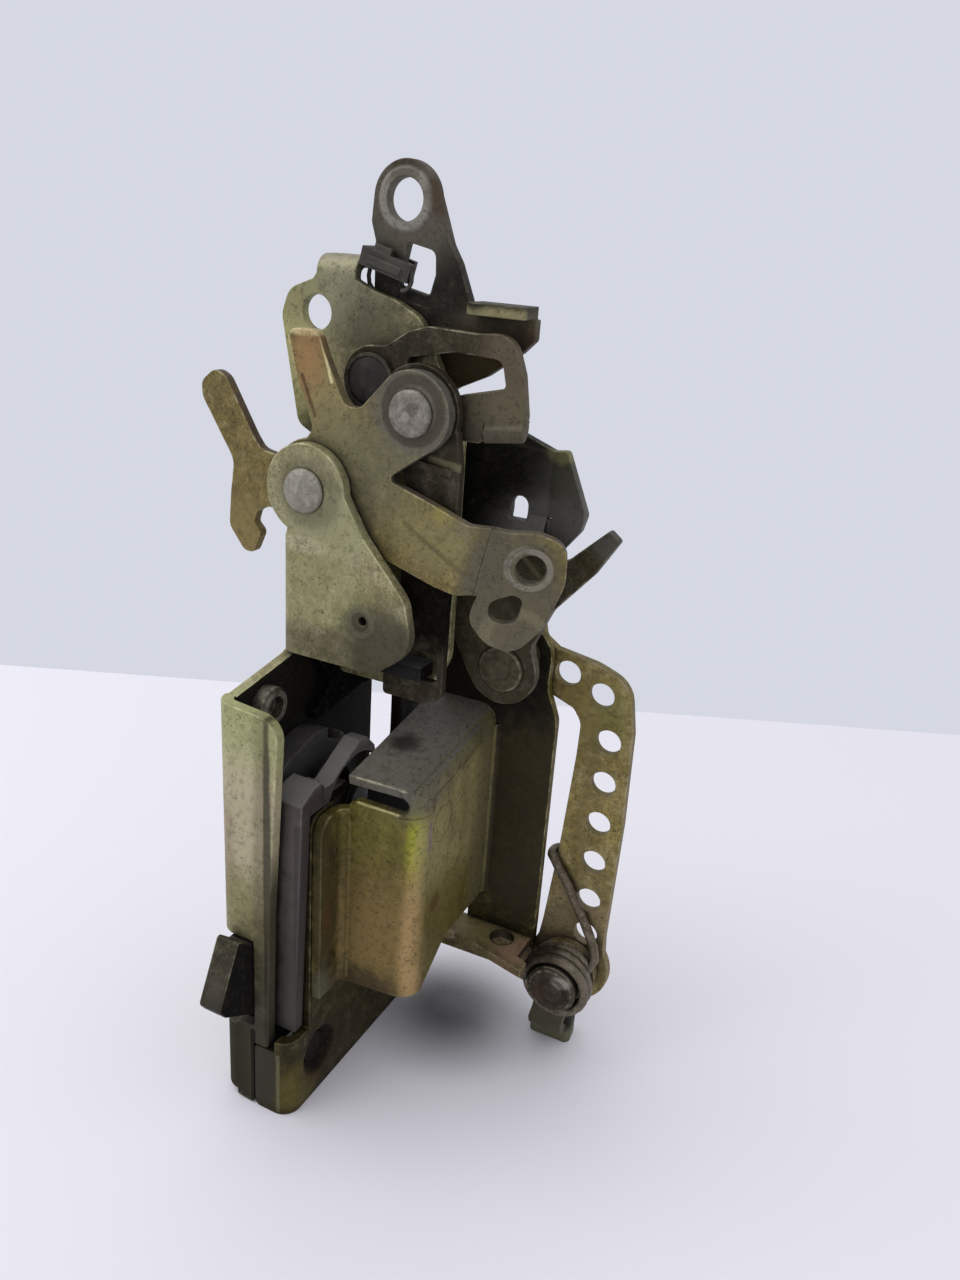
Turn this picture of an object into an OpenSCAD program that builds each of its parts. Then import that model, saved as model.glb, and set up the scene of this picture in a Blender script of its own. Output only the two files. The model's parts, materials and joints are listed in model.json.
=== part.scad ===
// Car door lock: a folded steel frame that carries a toothed catch and its pawl,
// with a stack of flat levers on the inner face and a sprung perforated arm at the side.
// X runs to the right across the levers, Y runs away from the lever side, Z is up.
// The origin is the centre of the lower screw hole on the outer face of the base plate.

/* [Frame] */
// Thickness of the base plate and the inner plate
base_t = 2.5; // [2:0.1:3]
// Thickness of the guard cover, the lever plate and the brackets
cover_t = 2.2; // [1.6:0.1:2.6]
// Clear distance between the base plate and the inner plate
case_w = 13; // [12:0.5:18]
// Depth of the base plate from the front flange to its back edge
case_d = 54; // [52:0.5:64]
// Height of the front flange
flange_h = 96; // [94:0.5:104]
// Inner radius of the folds
fold_r = 1.5; // [1:0.1:2]
// Width of the guard cover, from the inner plate to its outer wall
guard_w = 20; // [18:0.5:25]
// Distance of the ear behind the front flange
ear_y = 20.5; // [20:0.5:21]

/* [Levers] */
// Thickness of the levers
lever_t = 2.2; // [1.8:0.1:2.4]
// Clearance between two levers of the stack
stack_gap = 0.5; // [0.4:0.05:0.7]
// Diameter of the pivot shanks
pivot_d = 6; // [5:0.1:7]
// Radial clearance of a pivot in its bore
running = 0.05; // [0.03:0.01:0.08]
// Diameter of the rivet heads
head_d = 8.8; // [8:0.1:9.6]
// Thickness of the strap link
strap_t = 2; // [1.6:0.1:2.2]
// Diameter of the eye in the handle lever
eye_d = 7.5; // [6:0.1:8.5]

/* [Arm] */
// Diameter of the row of holes in the perforated arm
arm_hole_d = 5.6; // [4:0.1:7]
// Distance between the holes of the row
arm_pitch = 10; // [9.5:0.1:10.5]
// Wire diameter of the torsion spring
wire_d = 2.2; // [1.6:0.1:2.3]
// Diameter of the head of the arm stud
arm_head_d = 11.6; // [10:0.1:12.4]

/* [Catch] */
// Thickness of the catch
catch_t = 5.5; // [4.5:0.1:6]
// Radius of the hub of the catch
hub_r = 13; // [12:0.1:14]
// Thickness of the pawl
pawl_t = 3; // [2.5:0.1:3.4]
// Diameter of the screw holes
screw_d = 6.6; // [5.5:0.1:7]

/* [Hidden] */
$fn = 48;

// Planes of the frame
x_inner = 0;
x_inner_back = x_inner - base_t;
x_base_in = x_inner_back - case_w;
x_base = x_base_in - base_t;
x_guard = x_inner + guard_w;
fold_o = fold_r + base_t;
cover_o = fold_r + cover_t;

// Layers of the lever stack, from the ear backwards
y_cross = ear_y + base_t + stack_gap;
spacer_t = 0.9;
y_spacer = y_cross + lever_t;
y_strap = y_spacer + spacer_t + 0.3;
y_head = y_strap + strap_t + 0.35;
cup_t = 1.1;
y_window = y_head + cup_t + 0.3;
y_plate = y_window + lever_t + 0.3;
y_handle = y_plate + cover_t + 0.3;
y_rear = case_d - 5.5;
y_tail = y_rear - 10;
y_arm = y_rear + cover_t + 0.6;

// Pivots: lever pivots as [x, z], catch pivots as [y, z]
ear_p = [-11.6, 133.9];
link_p = [9.3, 150.9];
handle_p = [-3.5, 154.6];
tail_p = [24.4, 99.5];
arm_p = [42.2, 24.4];
catch_p = [23, 69];
pawl_p = [46.5, 91];
tab_z = 98.6;
screw_p = [11, 11];
post_p = [12.4, 91];
origin = [x_base, screw_p[0], screw_p[1]];

pivot_r = pivot_d / 2;
bore_r = pivot_r + running;
x_catch = x_base_in + 0.6;
x_pawl = x_catch;
guard_y = 15;
guard_low = 28.5;
guard_top = 74;
flap_tilt = 9.7;
flap_front = 80;
slot_low = 20.2;
slot_high = 43.5;
strip_z = 30.2;
foot_y = y_rear + cover_o;
foot_z = 7.5;
coil_r = max(6.2, arm_head_d / 2 + 0.3) + wire_d / 2;
coil_turns = 2;

// A flat outline whose corners [x, y, radius] are turned into arcs of short chords.
function unit(v) = v / norm(v);
function corner(a, b, c, r) =
  let (u = unit([a[0] - b[0], a[1] - b[1]]), w = unit([c[0] - b[0], c[1] - b[1]]))
  let (half = acos(max(-1, min(1, u * w))) / 2)
  let (room = min(norm([a[0] - b[0], a[1] - b[1]]), norm([c[0] - b[0], c[1] - b[1]])) * 0.49)
  let (cut = min(r / tan(half), room), rr = cut * tan(half))
  let (mid = [b[0], b[1]] + unit(u + w) * (rr / sin(half)))
  let (p = [b[0], b[1]] + u * cut, q = [b[0], b[1]] + w * cut)
  let (a0 = atan2(p[1] - mid[1], p[0] - mid[0]), a1 = atan2(q[1] - mid[1], q[0] - mid[0]))
  let (turn = (a1 - a0 > 180) ? a1 - a0 - 360 : (a1 - a0 < -180) ? a1 - a0 + 360 : a1 - a0)
  let (n = max(2, ceil(abs(turn) / 15)))
  (r <= 0 || abs(half - 90) < 1) ? [[b[0], b[1]]] :
  [for (i = [0 : n]) mid + rr * [cos(a0 + turn * i / n), sin(a0 + turn * i / n)]];
function rounded(pts) =
  let (n = len(pts))
  [for (i = [0 : n - 1]) each corner(pts[(i + n - 1) % n], pts[i], pts[(i + 1) % n], pts[i][2])];

// Plates in the three planes; points are [x, z], [y, z] and [x, y]
module plate_y(y, t) {
  translate([0, y + t, 0]) rotate([90, 0, 0]) linear_extrude(t) children();
}
module plate_x(x, t) {
  translate([x, 0, 0]) rotate([90, 0, 90]) linear_extrude(t) children();
}
module plate_z(z, t) {
  translate([0, 0, z]) linear_extrude(t) children();
}
module spot(p, r) {
  translate(p) circle(r);
}
// Turned pieces on the lever axes, running back from y, and on the catch axes, from x
module turned_y(p, y, profile) {
  translate([p[0], y, p[1]]) rotate([-90, 0, 0]) rotate_extrude() polygon(profile);
}
module turned_x(p, x, profile) {
  translate([x, p[0], p[1]]) rotate([0, 90, 0]) rotate_extrude() polygon(profile);
}
// A fold about a vertical axis, from angle a over a quarter turn or less
module fold_z(x, y, z0, z1, t, a, turn = 90) {
  translate([x, y, z0]) rotate([0, 0, a]) rotate_extrude(angle = turn)
    translate([fold_r, 0]) square([t, z1 - z0]);
}
// A fold about an axis along X
module fold_x(y, z, x0, x1, t, a, turn = 90) {
  translate([x0, y, z]) rotate([90, 0, 90]) rotate([0, 0, a]) rotate_extrude(angle = turn)
    translate([fold_r, 0]) square([t, x1 - x0]);
}
// A round wire along a list of points, closed at its ends; side is a direction across its start
function along(p, i) = unit(p[min(i + 1, len(p) - 1)] - p[max(i - 1, 0)]);
function frames(p, i, s) = i >= len(p) ? [] :
  let (d = along(p, i), t = unit(s - (s * d) * d)) concat([[t, cross(d, t)]], frames(p, i + 1, t));
module wire(path, d, sides = 10, side = [0, 1, 0]) {
  n = len(path);
  f = frames(path, 0, side);
  rings = [for (i = [0 : n - 1]) for (k = [0 : sides - 1])
    path[i] + d / 2 * (f[i][0] * cos(360 * k / sides) + f[i][1] * sin(360 * k / sides))];
  skin = [for (i = [0 : n - 2]) for (k = [0 : sides - 1])
    let (a = i * sides + k, b = i * sides + (k + 1) % sides) each [[a, b + sides, b],
      [a, a + sides, b + sides]]];
  ends = [[for (k = [0 : sides - 1]) k], [for (k = [sides - 1 : -1 : 0]) (n - 1) * sides + k]];
  polyhedron(rings, concat(skin, ends), convexity = 6);
}
// Folded base plate with its front flange and the ear of the cross lever
module base_plate() color("#8f8c66") {
  top_z = 124;
  side = rounded([[fold_o, 0, 4], [46, 0, 0], [case_d, 12, 6], [case_d, 100, 8], [44, top_z, 6],
    [ear_y + fold_o, top_z, 0], [ear_y + fold_o, 99.6, 0], [ear_y + 1, flange_h + 2.4, 0],
    [fold_o, flange_h - 0.4, 0]]);
  difference() {
    union() {
      plate_x(x_base, base_t) polygon(side);
      difference() {
        fold_z(x_base + fold_o, fold_o, 0, flange_h, base_t, 180);
        translate([x_base - 1, -1, -1]) cube([fold_o + 1, fold_o + 1, 3]);
      }
      plate_y(0, base_t) polygon(rounded([[x_base + fold_o - 0.01, 0.6, 0], [-9.5, 0, 1],
        [-9.5, 17, 0], [-5.6, 17, 1], [-5, 50, 0], [-3.4, 80, 0], [-2.7, flange_h - 1, 4.5],
        [x_base + fold_o - 0.01, flange_h, 0]]));
      fold_z(x_base + fold_o, ear_y + fold_o, 99.6, top_z, base_t, 180);
      plate_y(ear_y, base_t) union() {
        polygon(rounded([[x_base + fold_o - 0.01, top_z, 0], [-16.2, top_z, 0], [-15.2, 127.6, 0.6],
          [-19, 129, 0], [ear_p[0], 133.9, 0], [-2.9, 134.5, 0], [1.6, 127, 12], [11.4, 116, 6],
          [13.4, 106, 7], [5, 99.6, 6], [-6, 99.6, 10], [x_base + fold_o - 0.01, 99.6, 0]]));
        spot(ear_p, 9);
      }
    }
    plate_x(x_base - 1, base_t + 2) {
      polygon(rounded([[-1, slot_low, 0], [5, slot_low, 6], [9, 24, 4], [28, 24, 7.9],
        [28, 40, 7.9], [9, 40, 4], [5, slot_high, 6], [-1, slot_high, 0]]));
      spot(catch_p, pivot_r);
      spot(pawl_p, pivot_r);
      spot(screw_p, screw_d / 2);
      spot(post_p, 2);
    }
    plate_y(-1, base_t + 2)
      polygon([[x_base - 1, slot_low], [-9.1, slot_low + 1.6], [-9.1, slot_high],
        [x_base - 1, slot_high]]);
    translate([x_base - 1, -1, slot_low]) cube([fold_o + 1, fold_o + 2, slot_high - slot_low]);
    plate_y(ear_y - 1, base_t + 2) {
      spot(ear_p, pivot_r);
      spot([2.1, 110.2], 0.9);
    }
    base_rivet_holes();
  }
}
lever_rivets = [[41, 108], [41, 118]];
module base_rivet_holes() {
  plate_x(x_base - 1, base_t + cover_t + 1.2) for (p = lever_rivets) spot(p, 2);
}

// Inner plate with its short front flange and the countersunk screw hole
module inner_plate() color("#7d7a55") {
  difference() {
    union() {
      plate_x(x_inner_back, base_t) polygon(rounded([[fold_o, 0, 0], [46, 0, 0], [case_d - 2, 9, 5],
        [case_d - 2, 97.5, 3], [43.6, 97.5, 2], [40.8, 87, 3], [40.8, 76, 3], [37, 72.3, 3],
          [7.2, 72.3, 3], [7.2, 19.6, 0],
        [fold_o, 19.6, 0]]));
      fold_z(-fold_o, fold_o, 0, 19.6, base_t, 270);
      plate_y(0, base_t) polygon(rounded([[-fold_o + 0.01, 0, 0], [-9.2, 0, 1.5], [-9.2, 16.7, 1],
        [-fold_o + 0.01, 16.7, 0]]));
      plate_y(0, base_t) polygon([[-fold_o + 0.01, 0], [-fold_o + 0.01, 16.7], [-fold_o - 1, 16.7],
        [-fold_o - 1, 0]]);
    }
    translate([x_inner_back - 0.5, screw_p[0], screw_p[1]]) rotate([0, 90, 0]) {
      cylinder(h = base_t + 1, r = screw_d / 2);
      translate([0, 0, 0.9]) rotate_extrude() polygon([[0, 0], [screw_d / 2, 0], [5.9, base_t - 0.39],
        [5.9, base_t], [0, base_t]]);
    }
    plate_x(x_inner_back - 1, base_t + 2) {
      spot(catch_p, pivot_r);
      spot(pawl_p, pivot_r);
    }
    plate_x(x_inner_back - 1, base_t + 2) for (p = guard_rivets) spot(p, 1.6);
    plate_x(x_inner_back - 1, base_t + 2) for (p = bracket_rivets) spot(p, 1.6);
  }
}
guard_rivets = [[11, 36], [11, 62]];
bracket_rivets = [[42, 20.5]];

// Guard cover: foot, front wall, outer wall, sloping flap and rear flange in one sheet
module guard_cover() color("#7d7a30") {
  xo = x_guard;
  flap_w = guard_w - 4;
  back_z = flap_front + (y_rear - guard_y) * tan(flap_tilt);
  difference() {
    union() {
      plate_x(0, cover_t) polygon(rounded([[7.6, 28, 0], [guard_y - fold_r + 0.01, 28, 0],
        [guard_y - fold_r + 0.01, 71.5, 0], [10, 71.5, 3], [7.6, 69, 3]]));
      fold_z(cover_o, guard_y - fold_r, guard_low, 71.5, cover_t, 90);
      plate_y(guard_y, cover_t) polygon(rounded([[cover_o - 0.01, guard_low, 0],
        [xo - 5, guard_low + 1, 0],
        [xo - 5, guard_top, 0], [cover_o + 1, guard_top, 2], [cover_o - 0.01, 71.5, 0]]));
      translate([xo - 5, guard_y + 5, guard_low + 1]) rotate([0, 0, 270]) rotate_extrude(angle = 90)
        translate([5 - cover_t, 0]) square([cover_t, guard_top - guard_low - 1]);
      plate_x(xo - cover_t, cover_t) polygon([[guard_y + 4.99, guard_low + 1.5], [30, 37.4],
        [y_rear - fold_r + 0.01, 38], [y_rear - fold_r + 0.01, back_z - 4], [guard_y + 4.99, 76.6]]);
      plate_x(xo - cover_t, cover_t) polygon([[guard_y + 3, 74.5], [guard_y + 6, 72], [guard_y + 6, 77],
        [guard_y + 1, 76]]);
      translate([xo, guard_y - 1, flap_front]) rotate([flap_tilt, 0, 0]) {
        translate([-flap_w, 0, -cover_t]) cube([flap_w - 4, (y_rear - guard_y) / cos(flap_tilt) + 1.6,
          cover_t]);
        translate([-4, 0, -4]) rotate([-90, 0, 0]) rotate([0, 0, -90]) rotate_extrude(angle = 90)
          translate([4 - cover_t, 0]) square([cover_t, (y_rear - guard_y) / cos(flap_tilt) + 1.6]);
      }
      translate([xo + fold_r, y_rear - fold_r, 38]) rotate([0, 0, 90]) rotate_extrude(angle = 90)
        translate([fold_r, 0]) square([cover_t, back_z - 42]);
      plate_y(y_rear, cover_t) {
        polygon(rounded([[xo + fold_r - 0.01, 38, 0], [24.5, 32, 0], [33.9, 32, 1], [33.9, 86, 5],
          [31.2, 93, 3], [31.4, 99, 0], [tail_p[0], 106.4, 0], [4, 107, 4], [6.4, back_z - 1.4, 1],
          [xo - 1, back_z - 1.4, 0], [xo + fold_r - 0.01, back_z - 4, 0]]));
        spot(tail_p, 7);
      }
    }
    plate_y(y_rear - 1, cover_t + 2) spot(tail_p, pivot_r);
    plate_x(-1, cover_t + 2) for (p = guard_rivets) spot(p, 1.6);
    // the round mark pressed in the outer wall and the dimple in the flap
    translate([xo - 0.4, 25, 69]) rotate([0, 90, 0]) difference() {
      cylinder(h = 1, r = 4.4);
      translate([0, 0, -1]) cylinder(h = 3, r = 3.6);
    }
    translate([xo - 12, 24, 83.6]) sphere(2.4);
  }
}
// Moulded striker buffer between the plates
module plastic_housing() color("#46464a") {
  xl = x_inner_back - 4.2;
  difference() {
    union() {
      plate_y(4, 2.8) polygon([[xl - 0.4, 20], [-1.5, 20], [0.1, 76.2], [xl - 0.4, 76.2]]);
      plate_x(xl - 0.4, 0.5 - xl) polygon([[6.79, 72.7], [11, 72.7], [11, 78.6], [8, 78.4], [4, 76.2],
        [4, 76], [6.79, 76]]);
      plate_x(-4, 4.3) polygon([[10.9, 72.7], [32, 72.7], [30, 79], [27, 82], [24, 82.4], [14, 77],
        [10.9, 77]]);
      plate_x(xl, 4) polygon(rounded([[6, 21, 0], [22, 21, 4], [38, 50, 8], [38, 66, 4], [31, 76, 0],
        [6, 76, 0]]));
    }
    plate_x(xl - 3, 12) spot(catch_p, 10.5);
    plate_x(xl - 1, 2.2) polygon(rounded([[9, 25, 2], [20, 25, 2], [27, 40, 2], [9, 40, 2]]));
  }
}
// Plate that carries the handle levers, with its side flange and top flange
module lever_plate() color("#84815f") {
  difference() {
    union() {
      plate_y(y_plate, cover_t) polygon(rounded([[x_base_in + cover_o - 0.01, 122, 0],
        [x_base_in + cover_o - 0.01, 104, 0],
        [-11.2, 103, 1], [-11.2, 92, 1], [9, 92, 5], [15, 100, 8], [15, 148, 6], [5, 166.6, 6],
          [-0.6, 169.3, 0],
        [-5.2, 170.5, 0], [-7.6, 171.4, 1], [-9.4, 172.2, 0], [-9.4, 172.8, 0], [-18.2, 172.8, 0],
        [-19, 171.7, 1], [-24.6, 169.5, 4], [-26.3, 164.6, 4], [-22.3, 143.8, 3], [-17.6, 141.4, 2],
        [x_base_in, 138, 2], [x_base_in, 126, 0], [x_base_in + cover_o - 0.01, 126, 0]]));
      translate([-18.2, y_plate + 3.6, 172.8 - 0.01]) rotate([90, 0, 90])
        rotate([0, 0, 90]) rotate_extrude(angle = 90)
        translate([3.6 - cover_t, 0]) square([cover_t, 8.8]);
      translate([-18.2, y_plate + 3.59, 176.4 - cover_t]) cube([8.8, 5, cover_t]);
      fold_z(x_base_in + cover_o, y_plate + cover_o, 104, 122, cover_t, 180);
      plate_x(x_base_in, cover_t) polygon(rounded([[y_plate + cover_o - 0.01, 104, 0], [48, 104, 3],
        [48, 122, 3],
        [y_plate + cover_o - 0.01, 122, 0]]));
    }
    plate_y(y_plate - 1, cover_t + 2) {
      spot([-18, 165.6], screw_d / 2);
      spot(handle_p, pivot_r);
      for (p = channel_rivets) spot(p, 1.6);
    }
    plate_x(x_base_in - 1, cover_t + 2) for (p = lever_rivets) spot(p, 2);
  }
}
channel_rivets = [[-2, 129], [-2, 138]];

// Dished bracket behind the levers, with a foot on the back of the lever plate
module channel_housing() color("#5c5a46") {
  yb = y_plate + cover_t;
  yw = y_rear - 4;
  t = 2;
  w = 4 + fold_r;
  wing = 20;
  tilt = 26;
  reach = 9.3;
  drop = 6.2;
  r_out = fold_r + t;
  tip = [29 + reach * cos(wing), yw - reach * sin(wing)];
  low = [yw - drop * sin(tilt), 131 - drop * cos(tilt)];
  difference() {
    union() {
      intersection() {
        translate([0, 0, 124]) linear_extrude(24) polygon(rounded([[-6, yb, 0], [w + t, yb, r_out],
          [w + t, yw, fold_r],
          [29, yw, fold_r], [tip[0], tip[1], 0], [tip[0] + t * sin(wing), tip[1] + t * cos(wing), 0],
          [29 + t * tan(wing / 2), yw + t, r_out], [w, yw + t, r_out], [w, yb + t, fold_r],
            [-6, yb + t, 0]]));
        plate_y(yb - 1, yw - yb + t + 6) polygon(rounded([[-6, 125, 2], [11, 125, 0], [11, 131, 0], [30, 131, 0],
          [30, 125.6, 0],
          [33, 124.8, 1], [37.2, 130, 2], [38.2, 133.4, 1.5], [32.4, 144.6, 1], [29.2, 144, 1],
            [22, 146.6, 4],
          [14, 146.6, 4], [11, 142, 2], [-6, 142, 2]]));
      }
      plate_x(12, 17) polygon(rounded([[yw, 134, 0], [yw, 131, fold_r], [low[0], low[1], 0],
        [low[0] + t * cos(tilt), low[1] - t * sin(tilt), 0], [yw + t, 131 - t * tan(tilt / 2), r_out],
          [yw + t, 134, 0]]));
    }
    plate_y(yw - 3, t + 5) {
      spot([22.9, 132.4], 1.8);
      translate([21.1, 129.6]) square([3.6, 2.8]);
    }
    plate_y(yb - 1, t + 2) for (p = channel_rivets) spot(p, 1.6);
  }
}
// Bracket of the arm: foot on the inner plate, cross strip, stud lug and ground tab
module arm_bracket() color("#7a6f52") {
  zs = strip_z - cover_t;
  difference() {
    union() {
      plate_x(0, cover_t) polygon(rounded([[38.5, 14, 2], [46, 14, 2], [46, zs - fold_r + 0.01, 0],
        [38.5, zs - fold_r + 0.01, 0]]));
      translate([cover_o, 38.5, zs - fold_r]) rotate([-90, 0, 0]) rotate([0, 0, 180])
        rotate_extrude(angle = 90)
        translate([fold_r, 0]) square([cover_t, 7.5]);
      plate_z(zs, cover_t) polygon([[cover_o - 0.01, 38.5], [12, 38.5], [17, 40.6], [36.2, 36],
        [36.2, 39.2], [33.4, 40.4], [33.4, y_rear - fold_r + 0.01],
        [8, y_rear - fold_r + 0.01], [cover_o - 0.01, 46]]);
      fold_x(y_rear - fold_r, zs - fold_r, 8, 33.4, cover_t, 0);
      plate_y(y_rear, cover_t) {
        polygon(rounded([[8, zs - fold_r + 0.01, 0], [8, 18.6, 2], [32, 19.2, 2], [36.2, 15, 2],
          [34.6, foot_z - 0.01, 0], [43, foot_z - 0.01, 0],
          [44.4, 17, 0], [arm_p[0], arm_p[1], 0], [33.4, zs - fold_r + 0.01, 0]]));
        spot(arm_p, 7.4);
      }
      fold_x(foot_y, foot_z, 34.6, 43, cover_t, 180);
      plate_z(foot_z - cover_o, cover_t) polygon([[34.6, foot_y - 0.01], [43, foot_y - 0.01],
        [43, foot_y + 5], [34.6, foot_y + 5]]);
    }
    plate_y(y_rear - 1, cover_t + 2) spot(arm_p, pivot_r);
    plate_z(zs - 5, 9) spot([27.6, 44.6], 2.6);
    plate_x(-1, cover_t + 2) for (p = bracket_rivets) spot(p, 1.6);
  }
}
// Rubber pad pushed on the ground tab of the bracket
module foot_pad() color("#2a2b26") {
  front = foot_y + 0.2;
  high = foot_z - fold_r + 1.6;
  difference() {
    plate_z(0, high) polygon(rounded([[33.4, front, 1.5], [44.2, front, 1.5], [43.4, front + 7, 2.5],
      [34.4, front + 7, 2.5]]));
    plate_z(foot_z - cover_o, cover_t) polygon([[34.6, front - 1], [43, front - 1], [43, foot_y + 5],
      [34.6, foot_y + 5]]);
  }
}
// Catch whose tooth stands out through the front flange
module catch() color("#3a3936") {
  plate_x(x_catch, catch_t) difference() {
    union() {
      spot(catch_p, hub_r);
      polygon(rounded([[3.6, 52, 3], [3.6, 42.9, 0], [-0.6, 42.9, 0], [-4, 46, 0.8], [-10.3, 32.6, 1.2],
        [-8.6, 30.2, 1],
        [0.4, 24.4, 2], [9, 25, 5], [20, 44, 10], [31, 58.6, 3], catch_p_r(), [14, 80.2, 3],
          [9.6, 78, 3], [9, 62, 6]]));
    }
    spot(catch_p, bore_r);
    // notch in the rim for the pawl
    polygon([[26.5, 79], [31, 76.6], [33, 82], [27, 84]]);
  }
}
function catch_p_r() = [catch_p[0] + 2, catch_p[1] + 12.6, 2];

module catch_stud() color("#6c6a64") {
  reach = x_inner - x_base;
  turned_x(catch_p, x_base, [[0, 0.3], [1.4, 0.3], [1.8, 0], [pivot_r, 0], [pivot_r, reach],
    [pivot_r + 1.2, reach], [pivot_r + 1.2, reach + 0.6], [pivot_r, reach + 1.1], [0, reach + 1.1]]);
}
// Torsion spring of the catch, around its stud
function helix_x(c, r, x, pitch, a0, turns, n) = [for (i = [0 : n])
  [x + pitch * turns * i / n, c[0] + r * cos(a0 + 360 * turns * i / n),
    c[1] + r * sin(a0 + 360 * turns * i / n)]];
module catch_spring() color("#55524a") {
  d = 1.5;
  x0 = x_catch + catch_t + 0.3 + d / 2;
  r = pivot_r + 2 + d / 2;
  coil = helix_x(catch_p, r, x0, d + 0.15, 200, 2.25, 44);
  last = coil[len(coil) - 1];
  wire(concat([coil[0] + [0, 1.6, -4.4], coil[0] + [0, 0.6, -1.6]], coil,
    [last + [0, -1.5, 0.6], last + [0, -3.2, 1.2]]), d, 8, [1, 0, 0]);
}
// Pawl with a tab that the strap link lifts
module pawl() color("#55534c") {
  x_end = 13.3;
  difference() {
    union() {
      plate_x(x_pawl, pawl_t) {
        spot(pawl_p, 6.5);
        polygon(rounded([[49, 85.6, 3], [40, 84.4, 3], [30, 83.2, 1], [26.4, 82.3, 0.5],
          [25.6, 84.6, 0.8], [32, 90, 5],
          [28, 95, 3], [24.6, tab_z, 0], [24.6, tab_z + pawl_t, 0], [30, tab_z + pawl_t, 2],
            [40, 98.2, 8], [49, 97, 4]]));
      }
      plate_z(tab_z, pawl_t) polygon([[x_pawl, 24.6], [x_end, 24.6], [x_end, 30], [x_pawl, 30]]);
    }
    plate_x(x_pawl - 1, pawl_t + 2) spot(pawl_p, bore_r);
  }
}
module pawl_stud() color("#6c6a64") {
  reach = x_inner - x_base;
  turned_x(pawl_p, x_base, [[0, 0.3], [1.4, 0.3], [1.8, 0], [pivot_r, 0], [pivot_r, reach],
    [pivot_r + 1.2, reach], [pivot_r + 1.2, reach + 0.6], [pivot_r, reach + 1.1], [0, reach + 1.1]]);
}
module pawl_spring() color("#55524a") {
  d = 1.2;
  x0 = x_pawl + pawl_t + 0.3 + d / 2;
  r = pivot_r + 0.6 + d / 2;
  coil = helix_x(pawl_p, r, x0, d + 0.15, 150, 2.5, 40);
  last = coil[len(coil) - 1];
  wire(concat([coil[0] + [0, -4.6, -1.4], coil[0] + [0, -1.6, -0.6]], coil,
    [last + [0, 1.4, 1.2], last + [0, 3, 4]]), d, 8, [1, 0, 0]);
}
// Hollow post that anchors the spring inside the base plate
module spring_post() color("#8a8568") {
  turned_x(post_p, x_base, [[0, 0], [2, 0], [2, base_t], [4.2, base_t], [4.2, base_t + 2.6],
    [3.4, base_t + 3.4],
    [2.4, base_t + 3.4], [2.4, base_t + 1], [0, base_t + 1]]);
}
// Five-armed cross lever with the bent eye plate
module cross_lever() color("#6f6a4b") {
  bend = 22;
  crease = [25.4, 126.2];
  lean = 12;
  half = 7.6;
  difference() {
    union() {
      plate_y(y_cross, lever_t) {
        spot(ear_p, 9.6);
        spot(link_p, 7.7);
        polygon(rounded([[-17.9, 161.4, 1.5], [-16.8, 163.3, 2], [-11, 163.3, 2.5], [-9.6, 159.6, 0],
          [-4.9, 150.4, 2],
          [-1.6, 150.4, 2.5], [3, 155.4, 0], [8, 158.2, 0], [link_p[0], link_p[1], 0], [14, 145, 0],
            [4.6, 138.2, 0.8],
          [14.1, 135.2, 4], [22, 132.4, 4], [27, 132.8, 0], [24.1, 119.6, 0], [20.4, 118.5, 5],
            [15.6, 119.4, 3],
          [5, 122.5, 6], [-2, 127, 4], [ear_p[0], ear_p[1], 0], [-16, 141.6, 0], [-13.6, 143, 1.5],
            [-11.9, 145.4, 2],
          [-15.4, 153.9, 0]]));
        polygon(rounded([[ear_p[0], 140.6, 0], [-20.4, 139, 0], [-24.2, 139.6, 3], [-26, 142, 3],
          [-32.4, 152.6, 3],
          [-35.2, 153.9, 3], [-38.7, 151, 2.5], [-38.4, 148, 3], [-30.9, 136.4, 4], [-31.8, 130, 3],
            [-32.4, 122.8, 3],
          [-28.6, 118, 2], [-26.2, 118, 1.5], [-24.2, 122.6, 1.4], [-26, 124.4, 0.8], [-25.2, 127, 1.5],
          [-22.2, 128.3, 1.5], [-18, 127.4, 0], [ear_p[0], 126, 0]]));
      }
      translate([crease[0], y_cross + lever_t, crease[1]]) rotate([0, lean, 0]) {
        translate([0, 0, -6.8]) rotate([0, 0, -90]) rotate_extrude(angle = bend) square([lever_t, 13.4]);
        rotate([0, 0, bend]) translate([0, -lever_t, 0]) plate_y(0, lever_t) eye_outline(half);
        rotate([0, 0, bend]) translate([eye_1()[0], -lever_t, eye_1()[1]]) rotate([90, 0, 0])
          rotate_extrude() polygon([[3, -0.5], [4.6, -0.5], [4.2, 0.35], [3, 0.35]]);
      }
    }
    plate_y(y_cross - 1, lever_t + 2) {
      spot(ear_p, bore_r);
      spot(link_p, pivot_r);
    }
    translate([crease[0], y_cross + lever_t, crease[1]]) rotate([0, lean, 0]) rotate([0, 0, bend]) {
      translate([eye_1()[0], 1, eye_1()[1]]) rotate([90, 0, 0]) cylinder(h = lever_t + 3, r = 2.8);
      translate([0, -lever_t - 1, 0]) plate_y(0, lever_t + 2)
        polygon(rounded([[2.2, -7.4, 2.4], [3.4, -11, 2.8], [8.6, -10.6, 2.8], [8.4, -5, 2.2],
          [6.4, -4.6, 1.2]]));
    }
  }
}
function eye_1() = [8.2, 1.2];
module eye_outline(r) {
  polygon(rounded([[-0.01, 6.6, 0], [3, 7, 3], [8, 8.2, 4], [13.4, 7.4, 5.5], [15.1, 0, 7],
    [13.6, -9.6, 6],
    [9.8, -16.4, 5], [4, -16, 6], [-0.6, -12, 4], [-0.01, -6.8, 0]]));
}
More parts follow.
